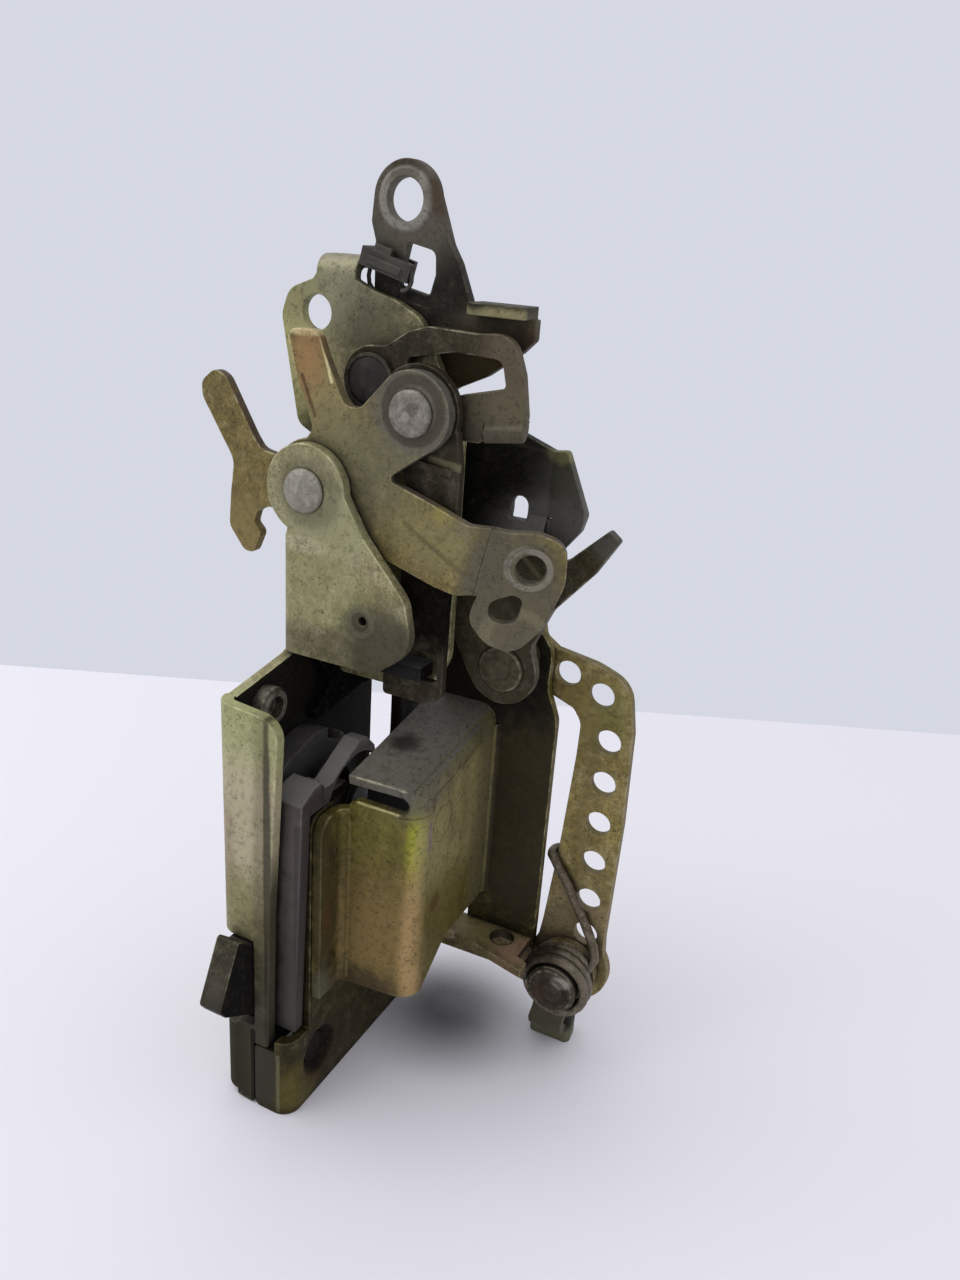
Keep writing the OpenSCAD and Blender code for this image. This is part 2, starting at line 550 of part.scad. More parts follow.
module ear_rivet() color("#9a9490") {
  back = y_cross + lever_t - ear_y;
  turned_y(ear_p, ear_y, [[0, -1.7], [2.6, -1.6], [head_d / 2 - 0.3, -1], [head_d / 2, -0.4],
    [head_d / 2, 0], [pivot_r, 0],
    [pivot_r, back + 0.12], [5, back + 0.12], [5, back + 1], [4.4, back + 1.5], [0, back + 1.5]]);
}
module cross_rivet() color("#9a9490") {
  back = y_strap + strap_t - y_cross;
  turned_y(link_p, y_cross, [[0, -1.5], [2.6, -1.4], [head_d / 2 - 0.3, -0.9], [head_d / 2, -0.3],
    [head_d / 2, 0], [pivot_r, 0],
    [pivot_r, back + 0.12], [4.4, back + 0.12], [4.4, back + 0.95], [0, back + 0.95]]);
}
module spacer_disc() color("#2c2b29") {
  turned_y(link_p, y_spacer, [[pivot_r, 0], [7.6, 0], [7.6, spacer_t], [pivot_r, spacer_t]]);
}
// Strap link that hangs on the cross lever and hooks under the pawl tab
module strap_link() color("#5e5744") {
  difference() {
    union() {
      plate_y(y_strap, strap_t) {
        spot([link_p[0] - 0.6, link_p[1]], 8.5);
        polygon(rounded([[0.6, 152, 0], [6.6, 138, 6], [6.6, tab_z + pawl_t + 2.4, 1.5],
          [15.6, tab_z + pawl_t + 2.4, 1],
          [15.6, tab_z - 0.4, 1], [3.4, tab_z - 0.4, 1], [3.4, 93, 1], [13, 93, 0], [17, 95, 2.5],
            [17, 112, 6], [18.1, 132, 8],
          [18.1, 142, 4], [17.2, 148, 0], [link_p[0], link_p[1], 0]]));
      }
      plate_y(y_strap - 0.7, 0.9) polygon([[7.4, 141.1], [16.6, 139.9], [16.8, 141.3], [7.6, 142.5]]);
    }
    plate_y(y_strap - 1, strap_t + 2) spot(link_p, bore_r);
  }
}
// Lever with the window and the folded lower lip
module window_lever() color("#66634c") {
  difference() {
    union() {
      plate_y(y_window, lever_t) {
        spot(handle_p, 6.5);
        polygon(rounded([[handle_p[0], handle_p[1] + 6.5, 0], [-1, 161.2, 3], [4, 164.4, 3],
          [8, 165.6, 4], [18, 165.3, 6],
          [25, 165.9, 4.5], [27.5, 159, 3], [28.6, 152, 0], [28.5, 150.9, 0], [20.4, 149.8, 0],
            [20.2, 146, 1],
          [4, 146, 4], [handle_p[0], handle_p[1] - 6.5, 0]]));
      }
      translate([20.4, y_window, 149.9]) rotate([0, -8, 0]) fold_x(-fold_r, 0, 0, 8.2, lever_t, -75, 75);
    }
    plate_y(y_window - 1, lever_t + 2) {
      polygon(rounded([[4, 159.6, 1], [13.8, 161.6, 2], [23.2, 161.2, 2], [24.3, 156.4, 0.8],
        [15.2, 154.2, 0.8],
        [12, 151, 2], [4, 152, 2]]));
      spot(handle_p, bore_r);
    }
  }
}
// Tall lever with the eye, the clip strip and the folded side tab
module handle_lever() color("#5f5a45") {
  eye = [-0.6, 186.6];
  tab = 4;
  difference() {
    union() {
      plate_y(y_handle, lever_t) {
        spot(handle_p, 8);
        spot(eye, 6.8);
        polygon(rounded([[-7.4, 187, 0], [-7.8, 182.5, 2], [-6.8, 179.3, 0], [-6.8, 166, 4],
          [-10.8, 158, 0],
          [handle_p[0], handle_p[1] - 8, 0], [4, 149, 3], [12, 154.6, 2], [18, 157.4, 4],
            [24.6, 162.2, 1], [27, 164.6, 1],
          [27, 168.2, 0], [14.5, 168.2, 1], [11, 176.6, 3], [9.1, 179.6, 3], [5.6, 189.1, 0],
            [eye[0], eye[1], 0]]));
      }
      translate([15, y_handle - tab, 168.2]) cube([11.4, tab + lever_t, lever_t]);
      turned_y(eye, y_handle, [[eye_d / 2 - 0.1, -0.4], [5.2, -0.4], [5.8, 0.2], [eye_d / 2 - 0.1, 0.2]]);
    }
    plate_y(y_handle - 2, lever_t + 4) {
      spot(eye, eye_d / 2);
      polygon(rounded([[-1.6, 171.8, 0.6], [0.2, 179.4, 0.6], [6, 178.2, 1.6], [6.2, 174.2, 1],
        [5.1, 170.4, 0.8]]));
    }
    plate_y(y_handle - 1, lever_t + 2) spot(handle_p, bore_r);
    translate([26, y_handle - tab - 1, 167]) rotate([0, 0, -38]) translate([0, -3, 0]) cube([4, 5, 5]);
  }
}
module handle_stud() color("#5a554d") {
  reach = y_handle + lever_t - y_head;
  turned_y(handle_p, y_head, [[0, 0.5], [4.6, 0.5], [4.6, 0], [5.2, 0], [5.2, cup_t], [pivot_r, cup_t],
    [pivot_r, reach + 0.12],
    [5, reach + 0.12], [5, reach + 1], [4.2, reach + 1.5], [0, reach + 1.5]]);
}
module rubber_bumper() color("#232222") {
  turned_y(handle_p, y_head, [[0, -0.05], [3.6, 0], [4.5, 0.2], [4.6, 0.5], [0, 0.5]]);
}
// Spring clip for a rod on the strip of the handle lever
module rod_clip() color("#2b2825") {
  yc = y_handle;
  translate([-3.4, yc, 175.3]) rotate([0, 15, 0]) {
    translate([-5.4, -2.2, -1.7]) cube([10.8, 2, 3.4]);
    translate([-5.4, lever_t + 0.2, -1.7]) cube([9, 1.2, 3.4]);
    translate([-5.4, -1, -1.7]) cube([1.4, lever_t + 2, 3.4]);
    translate([-3.6, -2.8, -0.9]) cube([7.4, 1.2, 1.4]);
    translate([-3, -2, 1]) cube([3.6, 1.4, 1.9]);
  }
  wire([for (a = [0 : 15 : 180]) [-0.2 + 2.2 * sin(a), yc - 1.2, 173.1 + 2.2 * cos(a)]], 0.9, 8);
  wire([[-8, yc + 1.1, 175.6], [-8.4, yc + 1.1, 174.4], [-8.7, yc + 1.1, 173], [-8.5, yc + 1.1, 171.6],
    [-7.7, yc + 1.1, 170.6]], 0.9, 8);
}
// Lever with the pointed finger
module tail_lever() color("#57513f") {
  plate_y(y_tail, lever_t) difference() {
    union() {
      spot(tail_p, 7.7);
      polygon(rounded([[tail_p[0] + 2.2, tail_p[1] - 7.4, 0], [32, 100, 0], [30.6, 105.6, 3],
        [34.2, 114, 6], [42, 123.2, 4],
        [46.3, 130.4, 0.6], [44, 132.2, 0.6], [36.2, 124.8, 4], [24, 120, 4], [14, 117, 3],
          [10.9, 108.2, 4], [17.4, 96, 0]]));
    }
    spot(tail_p, bore_r);
  }
}
module tail_stud() color("#6b6657") {
  reach = y_rear + cover_t - y_tail;
  step = y_rear - y_tail;
  turned_y(tail_p, y_tail, [[0, -0.5], [2, -0.5], [2.4, -0.75], [4.6, -0.75], [5, -0.35], [5, -0.12],
    [pivot_r, -0.12],
    [pivot_r, lever_t + 0.12], [4.6, lever_t + 0.12], [4.6, step], [pivot_r, step], [pivot_r, reach],
      [0, reach]]);
}
// Long arm with its row of holes
module perforated_arm() color("#5f5a30") {
  row_x = arm_p[0] + 2.8;
  top_z = 83;
  difference() {
    union() {
      plate_y(y_arm, lever_t) spot(arm_p, 9.6);
      plate_y(y_arm, lever_t) polygon(rounded([[arm_p[0] - 8.6, arm_p[1] + 2, 0], [34.7, 34, 3],
        [36.7, 55, 0], [38.2, 78, 0],
        [38.4, 86, 4], [36.4, 88.8, 2], [29.6, 91.3, 0], [21, 94, 4], [17.6, 101, 4], [22, 108.4, 4],
          [27.2, 109, 2],
        [28.4, 103.4, 2], [31.4, 101.4, 0], [40.6, 100, 8], [48.4, 97.2, 8], [50.2, 86, 6],
          [50.6, 64, 0], [49.9, 34, 2],
        [50.4, 27.4, 0], [arm_p[0] + 5, arm_p[1] - 5, 0], [arm_p[0] - 5, arm_p[1] - 5, 0]]));
    }
    plate_y(y_arm - 1, lever_t + 2) {
      spot(arm_p, bore_r);
      spot([34.4, 96.4], arm_hole_d / 2);
      spot([42.3, 93.2], arm_hole_d / 2);
      for (i = [0 : 4]) spot([row_x, top_z - i * arm_pitch], arm_hole_d / 2);
      spot([row_x + 0.3, top_z - 4.9 * arm_pitch], arm_hole_d / 2);
    }
  }
}
module arm_stud() color("#77726a") {
  y0 = y_rear - 8.6;
  lug = 8.6;
  back = y_arm + lever_t - y0;
  turned_y(arm_p, y0, [[0, 0.3], [1.2, 0.3], [1.6, 0], [arm_head_d / 2 - 0.7, 0], [arm_head_d / 2, 0.7],
    [arm_head_d / 2, 3],
    [pivot_r + 1.4, 3], [pivot_r + 1.4, lug], [pivot_r, lug], [pivot_r, back + 0.12], [5, back + 0.12],
      [5, back + 1.2],
    [4.2, back + 1.8], [0, back + 1.8]]);
}
// Torsion spring: a leg hooked round the arm, two turns round the stud and a short stop leg
module torsion_spring() color("#6d675c") {
  n = 24;
  y0 = y_rear - 0.4 - wire_d / 2;
  pitch = wire_d + 0.15;
  a_end = 30 + 360 * coil_turns + 150;
  steps = ceil(n * (a_end - 30) / 360);
  coil = [for (i = [0 : steps]) let (a = 30 + (a_end - 30) * i / steps)
    [arm_p[0] + coil_r * cos(a), y0 - pitch * (a - 30) / 360, arm_p[1] + coil_r * sin(a)]];
  y_leg = y_arm - 0.3 - wire_d / 2;
  x_hook = 36.5 - 0.15 - wire_d / 2;
  y_tip = y_arm + lever_t + 0.3 + wire_d / 2;
  leg = [[x_hook + 2.6, y_tip, 51.6], [x_hook + 1.1, y_tip, 51.9], [x_hook + 0.3, y_tip - 0.7, 52.1],
    [x_hook, y_tip - 1.7, 52.3],
    [x_hook, y_leg + 1.5, 52.5], [x_hook + 0.3, y_leg + 0.5, 52.5], [x_hook + 1.2, y_leg, 51.9],
      [x_hook + 2.4, y_leg, 50],
    [40.2, y_leg, 46.4], [42.8, y_leg, 42], [45.6, y_leg - 0.1, 37.4], [48.2, y_leg - 0.7, 33],
      [49.3, y_leg - 2, 30.4]];
  wire(concat(leg, coil), wire_d, 10, [1, 0, 0]);
}
module fixing_rivets() color("#8d8874") {
  for (p = lever_rivets) turned_x(p, x_base, [[0, 0], [2, 0], [2, base_t + cover_t],
    [3.2, base_t + cover_t], [3.2, base_t + cover_t + 0.8], [0, base_t + cover_t + 0.8]]);
  for (p = concat(guard_rivets, bracket_rivets)) turned_x(p, x_inner_back,
    [[0, 0], [1.6, 0], [1.6, base_t + cover_t], [2.6, base_t + cover_t],
    [2.2, base_t + cover_t + 0.6], [0, base_t + cover_t + 0.7]]);
  for (p = channel_rivets) turned_y(p, y_plate,
    [[0, -0.3], [2.4, -0.3], [2.4, 0], [1.6, 0], [1.6, cover_t + 2],
    [2.6, cover_t + 2], [2.6, cover_t + 2.6], [0, cover_t + 2.6]]);
}
module placed() {
  translate(-origin) children();
}
placed() base_plate();
placed() inner_plate();
placed() guard_cover();
placed() plastic_housing();
placed() lever_plate();
placed() channel_housing();
placed() arm_bracket();
placed() foot_pad();
placed() catch();
placed() catch_stud();
placed() catch_spring();
placed() pawl();
placed() pawl_stud();
placed() pawl_spring();
placed() spring_post();
placed() cross_lever();
placed() ear_rivet();
placed() cross_rivet();
placed() spacer_disc();
placed() strap_link();
placed() window_lever();
placed() handle_lever();
placed() handle_stud();
placed() rubber_bumper();
placed() rod_clip();
placed() tail_lever();
placed() tail_stud();
placed() perforated_arm();
placed() arm_stud();
placed() torsion_spring();
placed() fixing_rivets();
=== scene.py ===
from math import cos, pi, radians, sin
import json
import bpy
import bmesh
from mathutils import Matrix, Vector
from mathutils.bvhtree import BVHTree

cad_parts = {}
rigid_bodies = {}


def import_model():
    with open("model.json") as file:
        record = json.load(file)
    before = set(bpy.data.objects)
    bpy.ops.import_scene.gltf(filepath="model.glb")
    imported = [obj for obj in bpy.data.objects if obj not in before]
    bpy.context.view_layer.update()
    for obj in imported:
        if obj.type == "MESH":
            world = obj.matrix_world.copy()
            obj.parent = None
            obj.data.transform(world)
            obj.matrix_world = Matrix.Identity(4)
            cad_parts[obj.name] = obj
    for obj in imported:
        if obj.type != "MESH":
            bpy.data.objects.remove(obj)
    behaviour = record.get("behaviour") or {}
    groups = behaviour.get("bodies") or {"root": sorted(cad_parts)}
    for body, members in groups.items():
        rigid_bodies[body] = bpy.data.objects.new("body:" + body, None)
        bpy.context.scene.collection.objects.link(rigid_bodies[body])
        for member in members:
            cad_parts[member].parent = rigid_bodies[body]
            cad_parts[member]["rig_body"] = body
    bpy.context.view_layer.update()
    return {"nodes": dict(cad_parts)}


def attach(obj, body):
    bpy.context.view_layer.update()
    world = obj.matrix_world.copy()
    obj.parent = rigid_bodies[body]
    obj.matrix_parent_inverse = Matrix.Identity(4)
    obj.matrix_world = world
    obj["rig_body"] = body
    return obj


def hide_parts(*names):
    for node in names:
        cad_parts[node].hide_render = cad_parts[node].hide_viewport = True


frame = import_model()
print("frame loaded:", len(frame["nodes"]), "pieces")


def paint(colour):  # 0 to 255, as a colour picker shows it
    return tuple((c / 255 / 12.92) if c < 11 else ((c / 255 + 0.055) / 1.055) ** 2.4 for c in colour) + (1,)


# camera at the photograph's viewing angle
camera = {"azimuth": 25, "elevation": 21.5, "roll": 4.2, "place": (0.120, -0.150, 0.1708),
          "focalPixels": 1030, "framePixels": 1280, "sensor": 36}


def placeCamera(c):
    turn, rise, roll = radians(c["azimuth"]), radians(c["elevation"]), radians(c["roll"])
    back = Vector((sin(turn) * cos(rise), -cos(turn) * cos(rise), sin(rise)))
    right = Vector((cos(turn), sin(turn), 0))
    up = back.cross(right)
    across = right * cos(roll) + up * sin(roll)
    upward = up * cos(roll) - right * sin(roll)
    data = bpy.data.cameras.new("photoCamera")
    data.sensor_width = c["sensor"]
    data.lens = c["focalPixels"] * c["sensor"] / c["framePixels"]
    data.clip_start = 0.01
    thing = bpy.data.objects.new("photoCamera", data)
    thing.matrix_world = Matrix.Translation(c["place"]) @ Matrix((across, upward, back)).transposed().to_4x4()
    bpy.context.scene.collection.objects.link(thing)
    bpy.context.scene.camera = thing


placeCamera(camera)
print("camera placed")


# shader helpers: put() adds a node, links the inputs that are sockets and sets the others
def newMaterial(name):
    material = bpy.data.materials.new(name)
    material.use_nodes = True
    tree = material.node_tree
    tree.nodes.clear()
    return material, nodePutter(tree)


def nodePutter(tree):
    def put(kind, inputs=None, **settings):
        node = tree.nodes.new("ShaderNode" + kind)
        for key, value in settings.items():
            setattr(node, key, value)
        for key, value in (inputs or {}).items():
            if isinstance(value, bpy.types.NodeSocket):
                tree.links.new(value, node.inputs[key])
            else:
                node.inputs[key].default_value = value
        return node
    return put


def gate(put, value, low, high, bottom=0, top=1):
    return put("MapRange", {"Value": value, "From Min": low, "From Max": high, "To Min": bottom,
                            "To Max": top}, interpolation_type="SMOOTHSTEP").outputs[0]


def noise(put, at, size, detail, roughness, distortion=0):  # size in millimetres
    return put("TexNoise", {"Vector": at, "Scale": 1 / size, "Detail": detail, "Roughness": roughness,
                            "Distortion": distortion}).outputs[0]


def times(put, a, b):
    return put("Math", {0: a, 1: b}, operation="MULTIPLY").outputs[0]


def plus(put, a, b, c):  # a times b plus c
    return put("Math", {0: a, 1: b, 2: c}, operation="MULTIPLY_ADD").outputs[0]


def coat(put, amount, under, over):
    return put("Mix", {0: amount, 6: under, 7: over}, data_type="RGBA").outputs[2]


def stretched(put, at, stretch, move=(0, 0, 0)):
    return put("VectorMath", {0: at, 1: stretch, 2: move}, operation="MULTIPLY_ADD").outputs[0]


# one patch of dirt, rust, wear, painted highlight or painted shade at a place on the lock, in millimetres
def spot(at, size, tint, amount=0.8, soft=0.7, ragged=0.9, facing=None, rough=None, dent=0, ring=0):
    return {"at": at, "size": size, "tint": tint, "amount": amount, "soft": soft, "ragged": ragged,
            "facing": facing, "rough": rough, "dent": dent, "ring": ring}


# one scratch, streak, painted highlight or painted shade from a place to another
def line(start, end, width, tint, amount=0.8, soft=0.8, ragged=0.5):
    return {**spot(start, (width,) * 3, tint, amount, soft, ragged), "end": end}


facingBand = (0.55, 0.85)  # how squarely a face has to look along a mark's facing to show the mark


def spread(put, at, raggedNoise, normal, mark):  # how far a mark covers, from 0 to 1
    size = mark["size"]
    if "end" in mark:
        along = [b - a for a, b in zip(mark["at"], mark["end"])]
        lengthSquared = sum(a * a for a in along)
        fromStart = put("VectorMath", {0: at, 1: mark["at"]}, operation="SUBTRACT").outputs[0]
        part = put("VectorMath", {0: fromStart, 1: along}, operation="DOT_PRODUCT").outputs[1]
        part = put("Math", {0: part, 1: 1 / lengthSquared}, operation="MULTIPLY", use_clamp=True).outputs[0]
        nearest = put("VectorMath", {0: along, 3: part}, operation="SCALE").outputs[0]
        away = put("VectorMath", {0: fromStart, 1: nearest}, operation="SUBTRACT").outputs[0]
        away = stretched(put, away, [1 / s for s in size])
    else:
        away = stretched(put, at, [1 / s for s in size], [-a / s for a, s in zip(mark["at"], size)])
    distance = put("VectorMath", {0: away}, operation="LENGTH").outputs[1]
    if mark["ring"]:  # a worn band round a hole: how far from its middle line, as a share of its width
        distance = put("Math", {0: distance, 1: 1}, operation="SUBTRACT").outputs[0]
        distance = put("Math", {0: distance}, operation="ABSOLUTE").outputs[0]
        distance = times(put, distance, 2 / mark["ring"])
    edge = plus(put, raggedNoise, mark["ragged"], distance)
    middle = 1 + mark["ragged"] / 2
    cover = gate(put, edge, middle + mark["soft"] / 2, middle - mark["soft"] / 2, 0, mark["amount"])
    if mark["facing"]:
        towards = put("VectorMath", {0: normal, 1: mark["facing"]}, operation="DOT_PRODUCT").outputs[1]
        cover = times(put, cover, gate(put, towards, *facingBand))
    return cover


# plated sheet steel, dulled by years of road dirt, with painted shade where pieces meet and painted
# highlights on its broken edges
plating = {"tints": [(128, 124, 96), (116, 108, 80), (142, 138, 112)], "cloud": 15, "grain": 0.7,
           "specks": 0.75, "speckTint": (52, 45, 33), "film": 0.35, "filmTint": (96, 84, 60),
           "grime": 0.85, "grimeTint": (30, 26, 21), "grimeReach": 5, "rim": 0.45, "rimTint": (150, 143, 122),
           "cutAxis": None, "cutTint": (84, 70, 58), "cut": 0.6, "scuffs": 0.35, "scuffTint": (158, 154, 134),
           "metal": 0.35, "shine": 0.22, "rough": (0.42, 0.66), "pits": 0.012, "waves": 0.03, "seed": 0,
           "marks": []}
# its patterns: size in millimetres (for the first two a share of the clouds), detail, roughness, distortion
steelPatterns = {"broad": (1, 5, 0.6, 0.4), "middle": (1 / 4.5, 5, 0.62, 0), "fine": (0.7, 6, 0.78),
                 "pepper": (0.5, 4, 0.62), "blotch": (1.4, 4, 0.6, 0.3), "cluster": (4.2, 4, 0.65, 0.5),
                 "running": (2.6, 5, 0.68), "scuffs": (1.3, 3, 0.7, 0.6)}
# values of a pattern between which something starts and is full
steelBands = {"secondTint": (0.4, 0.56), "thirdTint": (0.42, 0.72), "film": (0.46, 0.68),
              "scuffs": (0.63, 0.72), "scuffedParts": (0.44, 0.6), "cutFace": (0.75, 0.45),
              "cutPatches": (0.36, 0.56), "rimWearAndHighlightPatches": (0.42, 0.6), "rough": (0.3, 0.7),
              "blotch": (0.5, 0.68), "pepper": (0.53, 0.68), "cluster": (0.42, 0.62), "grime": (1.08, 0.45)}
# the least that patches leave of pale rims (wear and painted highlight), cut faces and specks, and how strong
# blotches, pits and grime with painted shade are
steelShares = {"rimWearAndHighlightLeast": 0.15, "cutLeast": 0.5, "clusterLeast": 0.15, "blotch": 0.45, "speckPit": 1.5,
               "grimeAndShadeRagged": 0.5, "grimeRough": 0.8}
cornerSamples = 8
seedSteps = (17.3, 5.1, 9.7)  # how far one piece's patterns lie from the next one's
downRun = (1, 1, 0.22)  # drawn out downwards
sideRub = (0.18, 0.4, 1)  # drawn out sideways


def platedSteel(name, v, share=steelShares):
    material, put = newMaterial(name)
    coordinates = put("TexCoord")
    at = stretched(put, coordinates.outputs["Object"], (1000,) * 3)
    moved = stretched(put, at, (1, 1, 1), [v["seed"] * step for step in seedSteps])
    normal = coordinates.outputs["Normal"]
    tints = [paint(t) for t in v["tints"]]

    def clouds(kind):
        part, *rest = steelPatterns[kind]
        return noise(put, moved, v["cloud"] * part, *rest)

    def pattern(kind, stretch=(1, 1, 1)):
        place = moved if stretch == (1, 1, 1) else stretched(put, moved, stretch)
        return noise(put, place, *steelPatterns[kind])

    def band(value, kind, *limits):
        return gate(put, value, *steelBands[kind], *limits)

    broad, middle, fine = clouds("broad"), clouds("middle"), pattern("fine")
    colour = coat(put, band(broad, "secondTint"), tints[0], tints[1])
    colour = coat(put, band(middle, "thirdTint"), colour, tints[2])
    lightness = plus(put, fine, v["grain"] * 5, 1 - v["grain"] * 2.5)  # 1 at the middle of the pattern
    colour = put("VectorMath", {0: colour, 3: lightness}, operation="SCALE").outputs[0]
    # thin brown film that runs down, and scuffs that rubbed through it
    film = times(put, band(pattern("running", downRun), "film"), v["film"])
    colour = coat(put, film, colour, paint(v["filmTint"]))
    scuffs = band(pattern("scuffs", sideRub), "scuffs")
    scuffs = times(put, scuffs, band(broad, "scuffedParts", 0, v["scuffs"]))
    colour = coat(put, scuffs, colour, paint(v["scuffTint"]))
    if v["cutAxis"]:  # bare cut faces of a stamped plate
        across = put("VectorMath", {0: normal, 1: v["cutAxis"]}, operation="DOT_PRODUCT").outputs[1]
        across = put("Math", {0: across}, operation="ABSOLUTE").outputs[0]
        cut = times(put, band(across, "cutFace", 0, v["cut"]),
                    band(middle, "cutPatches", share["cutLeast"], 1))
        colour = coat(put, cut, colour, paint(v["cutTint"]))
    # pale broken edges: wear and a painted highlight
    rim = put("Attribute", attribute_name="rim").outputs["Fac"]
    rim = times(put, rim, band(middle, "rimWearAndHighlightPatches", share["rimWearAndHighlightLeast"] * v["rim"], v["rim"]))
    colour = coat(put, rim, colour, paint(v["rimTint"]))
    roughness = band(fine, "rough", *v["rough"])
    height = plus(put, fine, v["pits"] * 2, times(put, middle, v["waves"] * 2))
    for mark in v["marks"]:
        cover = spread(put, at, middle, normal, mark)
        colour = coat(put, cover, colour, paint(mark["tint"]))
        if mark["rough"] is not None:
            roughness = put("Mix", {0: cover, 2: roughness, 3: mark["rough"]}).outputs[0]
        if mark["dent"]:
            height = plus(put, cover, -mark["dent"], height)
    # faint blotches and a pepper of rust and dirt, thicker in patches, then grime and painted shade where
    # pieces meet
    speckTint = paint(v["speckTint"])
    blotches = band(pattern("blotch"), "blotch", 0, share["blotch"] * v["specks"])
    colour = coat(put, blotches, colour, speckTint)
    clusters = band(pattern("cluster"), "cluster", share["clusterLeast"], v["specks"])
    specks = times(put, band(pattern("pepper"), "pepper"), clusters)
    colour = coat(put, specks, colour, speckTint)
    height = plus(put, specks, -v["pits"] * share["speckPit"], height)
    corner = put("AmbientOcclusion", {"Distance": v["grimeReach"] / 1000}, samples=cornerSamples)
    grime = plus(put, middle, share["grimeAndShadeRagged"], corner.outputs["AO"])
    grime = band(grime, "grime", 0, v["grime"])
    colour = coat(put, grime, colour, paint(v["grimeTint"]))
    roughness = put("Mix", {0: grime, 2: roughness, 3: share["grimeRough"]}).outputs[0]
    bump = put("Bump", {"Height": height, "Distance": 0.001})
    shader = put("BsdfPrincipled", {"Base Color": colour, "Metallic": v["metal"], "Roughness": roughness,
                                    "Specular IOR Level": v["shine"], "Normal": bump.outputs[0]})
    put("OutputMaterial", {"Surface": shader.outputs[0]})
    return material


# patterns, bands and shares of moulded plastic and rubber, as for steel
mouldedPatterns = {"broad": (1, 4, 0.6, 0.3), "middle": (3, 5, 0.62), "fine": (0.35, 3, 0.6),
                   "rubbed": (0.9, 3, 0.7, 0.4)}
mouldedBands = {"secondTint": (0.4, 0.6), "dust": (0.46, 0.68), "rubbed": (0.62, 0.72),
                "rimWearAndHighlightPatches": (0.4, 0.6), "rough": (0.35, 0.65), "grime": (1.0, 0.45)}
mouldedShares = {"rimWearAndHighlightLeast": 0.2, "grimeAndShadeRagged": 0.4}
mouldedRelief = {"grimeReach": 4, "waves": 0.03}  # millimetres
downRub = (1, 1, 0.16)


# moulded plastic and rubber, dusty and scraped
def mouldedBlack(name, v, share=mouldedShares, relief=mouldedRelief):
    material, put = newMaterial(name)
    coordinates = put("TexCoord")
    at = stretched(put, coordinates.outputs["Object"], (1000,) * 3)
    normal = coordinates.outputs["Normal"]

    def band(value, kind, *limits):
        return gate(put, value, *mouldedBands[kind], *limits)

    part, *rest = mouldedPatterns["broad"]
    broad = noise(put, at, v["cloud"] * part, *rest)
    middle = noise(put, at, *mouldedPatterns["middle"])
    fine = noise(put, at, *mouldedPatterns["fine"])
    colour = coat(put, band(broad, "secondTint"), paint(v["tints"][0]), paint(v["tints"][1]))
    dust = times(put, band(middle, "dust"), v["dust"])
    colour = coat(put, dust, colour, paint(v["dustTint"]))
    rubbed = noise(put, stretched(put, at, downRub), *mouldedPatterns["rubbed"])
    rubbed = times(put, band(rubbed, "rubbed"), v["scrapes"])
    colour = coat(put, rubbed, colour, paint(v["scrapeTint"]))
    # pale broken edges: wear and a painted highlight
    rim = put("Attribute", attribute_name="rim").outputs["Fac"]
    rim = times(put, rim, band(middle, "rimWearAndHighlightPatches", share["rimWearAndHighlightLeast"] * v["rim"], v["rim"]))
    colour = coat(put, rim, colour, paint(v["rimTint"]))
    roughness = band(middle, "rough", *v["rough"])
    height = plus(put, fine, v["texture"], times(put, middle, relief["waves"]))
    for mark in v["marks"]:
        cover = spread(put, at, middle, normal, mark)
        colour = coat(put, cover, colour, paint(mark["tint"]))
    # grime and painted shade where pieces meet
    corner = put("AmbientOcclusion", {"Distance": relief["grimeReach"] / 1000}, samples=cornerSamples)
    grime = plus(put, middle, share["grimeAndShadeRagged"], corner.outputs["AO"])
    grime = band(grime, "grime", 0, v["grime"])
    colour = coat(put, grime, colour, paint(v["grimeTint"]))
    bump = put("Bump", {"Height": height, "Distance": 0.001})
    shader = put("BsdfPrincipled", {"Base Color": colour, "Roughness": roughness,
                                    "Specular IOR Level": v["shine"], "Normal": bump.outputs[0]})
    put("OutputMaterial", {"Surface": shader.outputs[0]})
    return material


# broken edges: points are merged at these distances in metres, angles are in degrees, the drift is a share
# of the edge's width, and the width in millimetres over roomShare gives the room it needs in metres
edgeValues = {"merge": 2e-5, "mergeWire": 2e-6, "flat": 1, "sharp": 32, "drift": 0.4, "roomShare": 550,
              "segments": 2, "profile": 0.5, "evenWeight": 60}
# small turned and moulded pieces, whose broken edges may not run into each other
fineEdged = {"catch", "cross_rivet", "ear_rivet", "spacer_disc", "spring_post", "perforated_arm", "arm_stud",
             "catch_stud", "pawl_stud", "rubber_bumper", "fixing_rivets", "foot_pad", "handle_stud",
             "tail_stud"}


def roomFor(edge, room):  # narrow faces beside an edge leave no room to break it
    start, end = (v.co for v in edge.verts)
    along = (end - start).normalized()
    return all(max((v.co - start).cross(along).length for v in face.verts) > room for face in edge.link_faces)


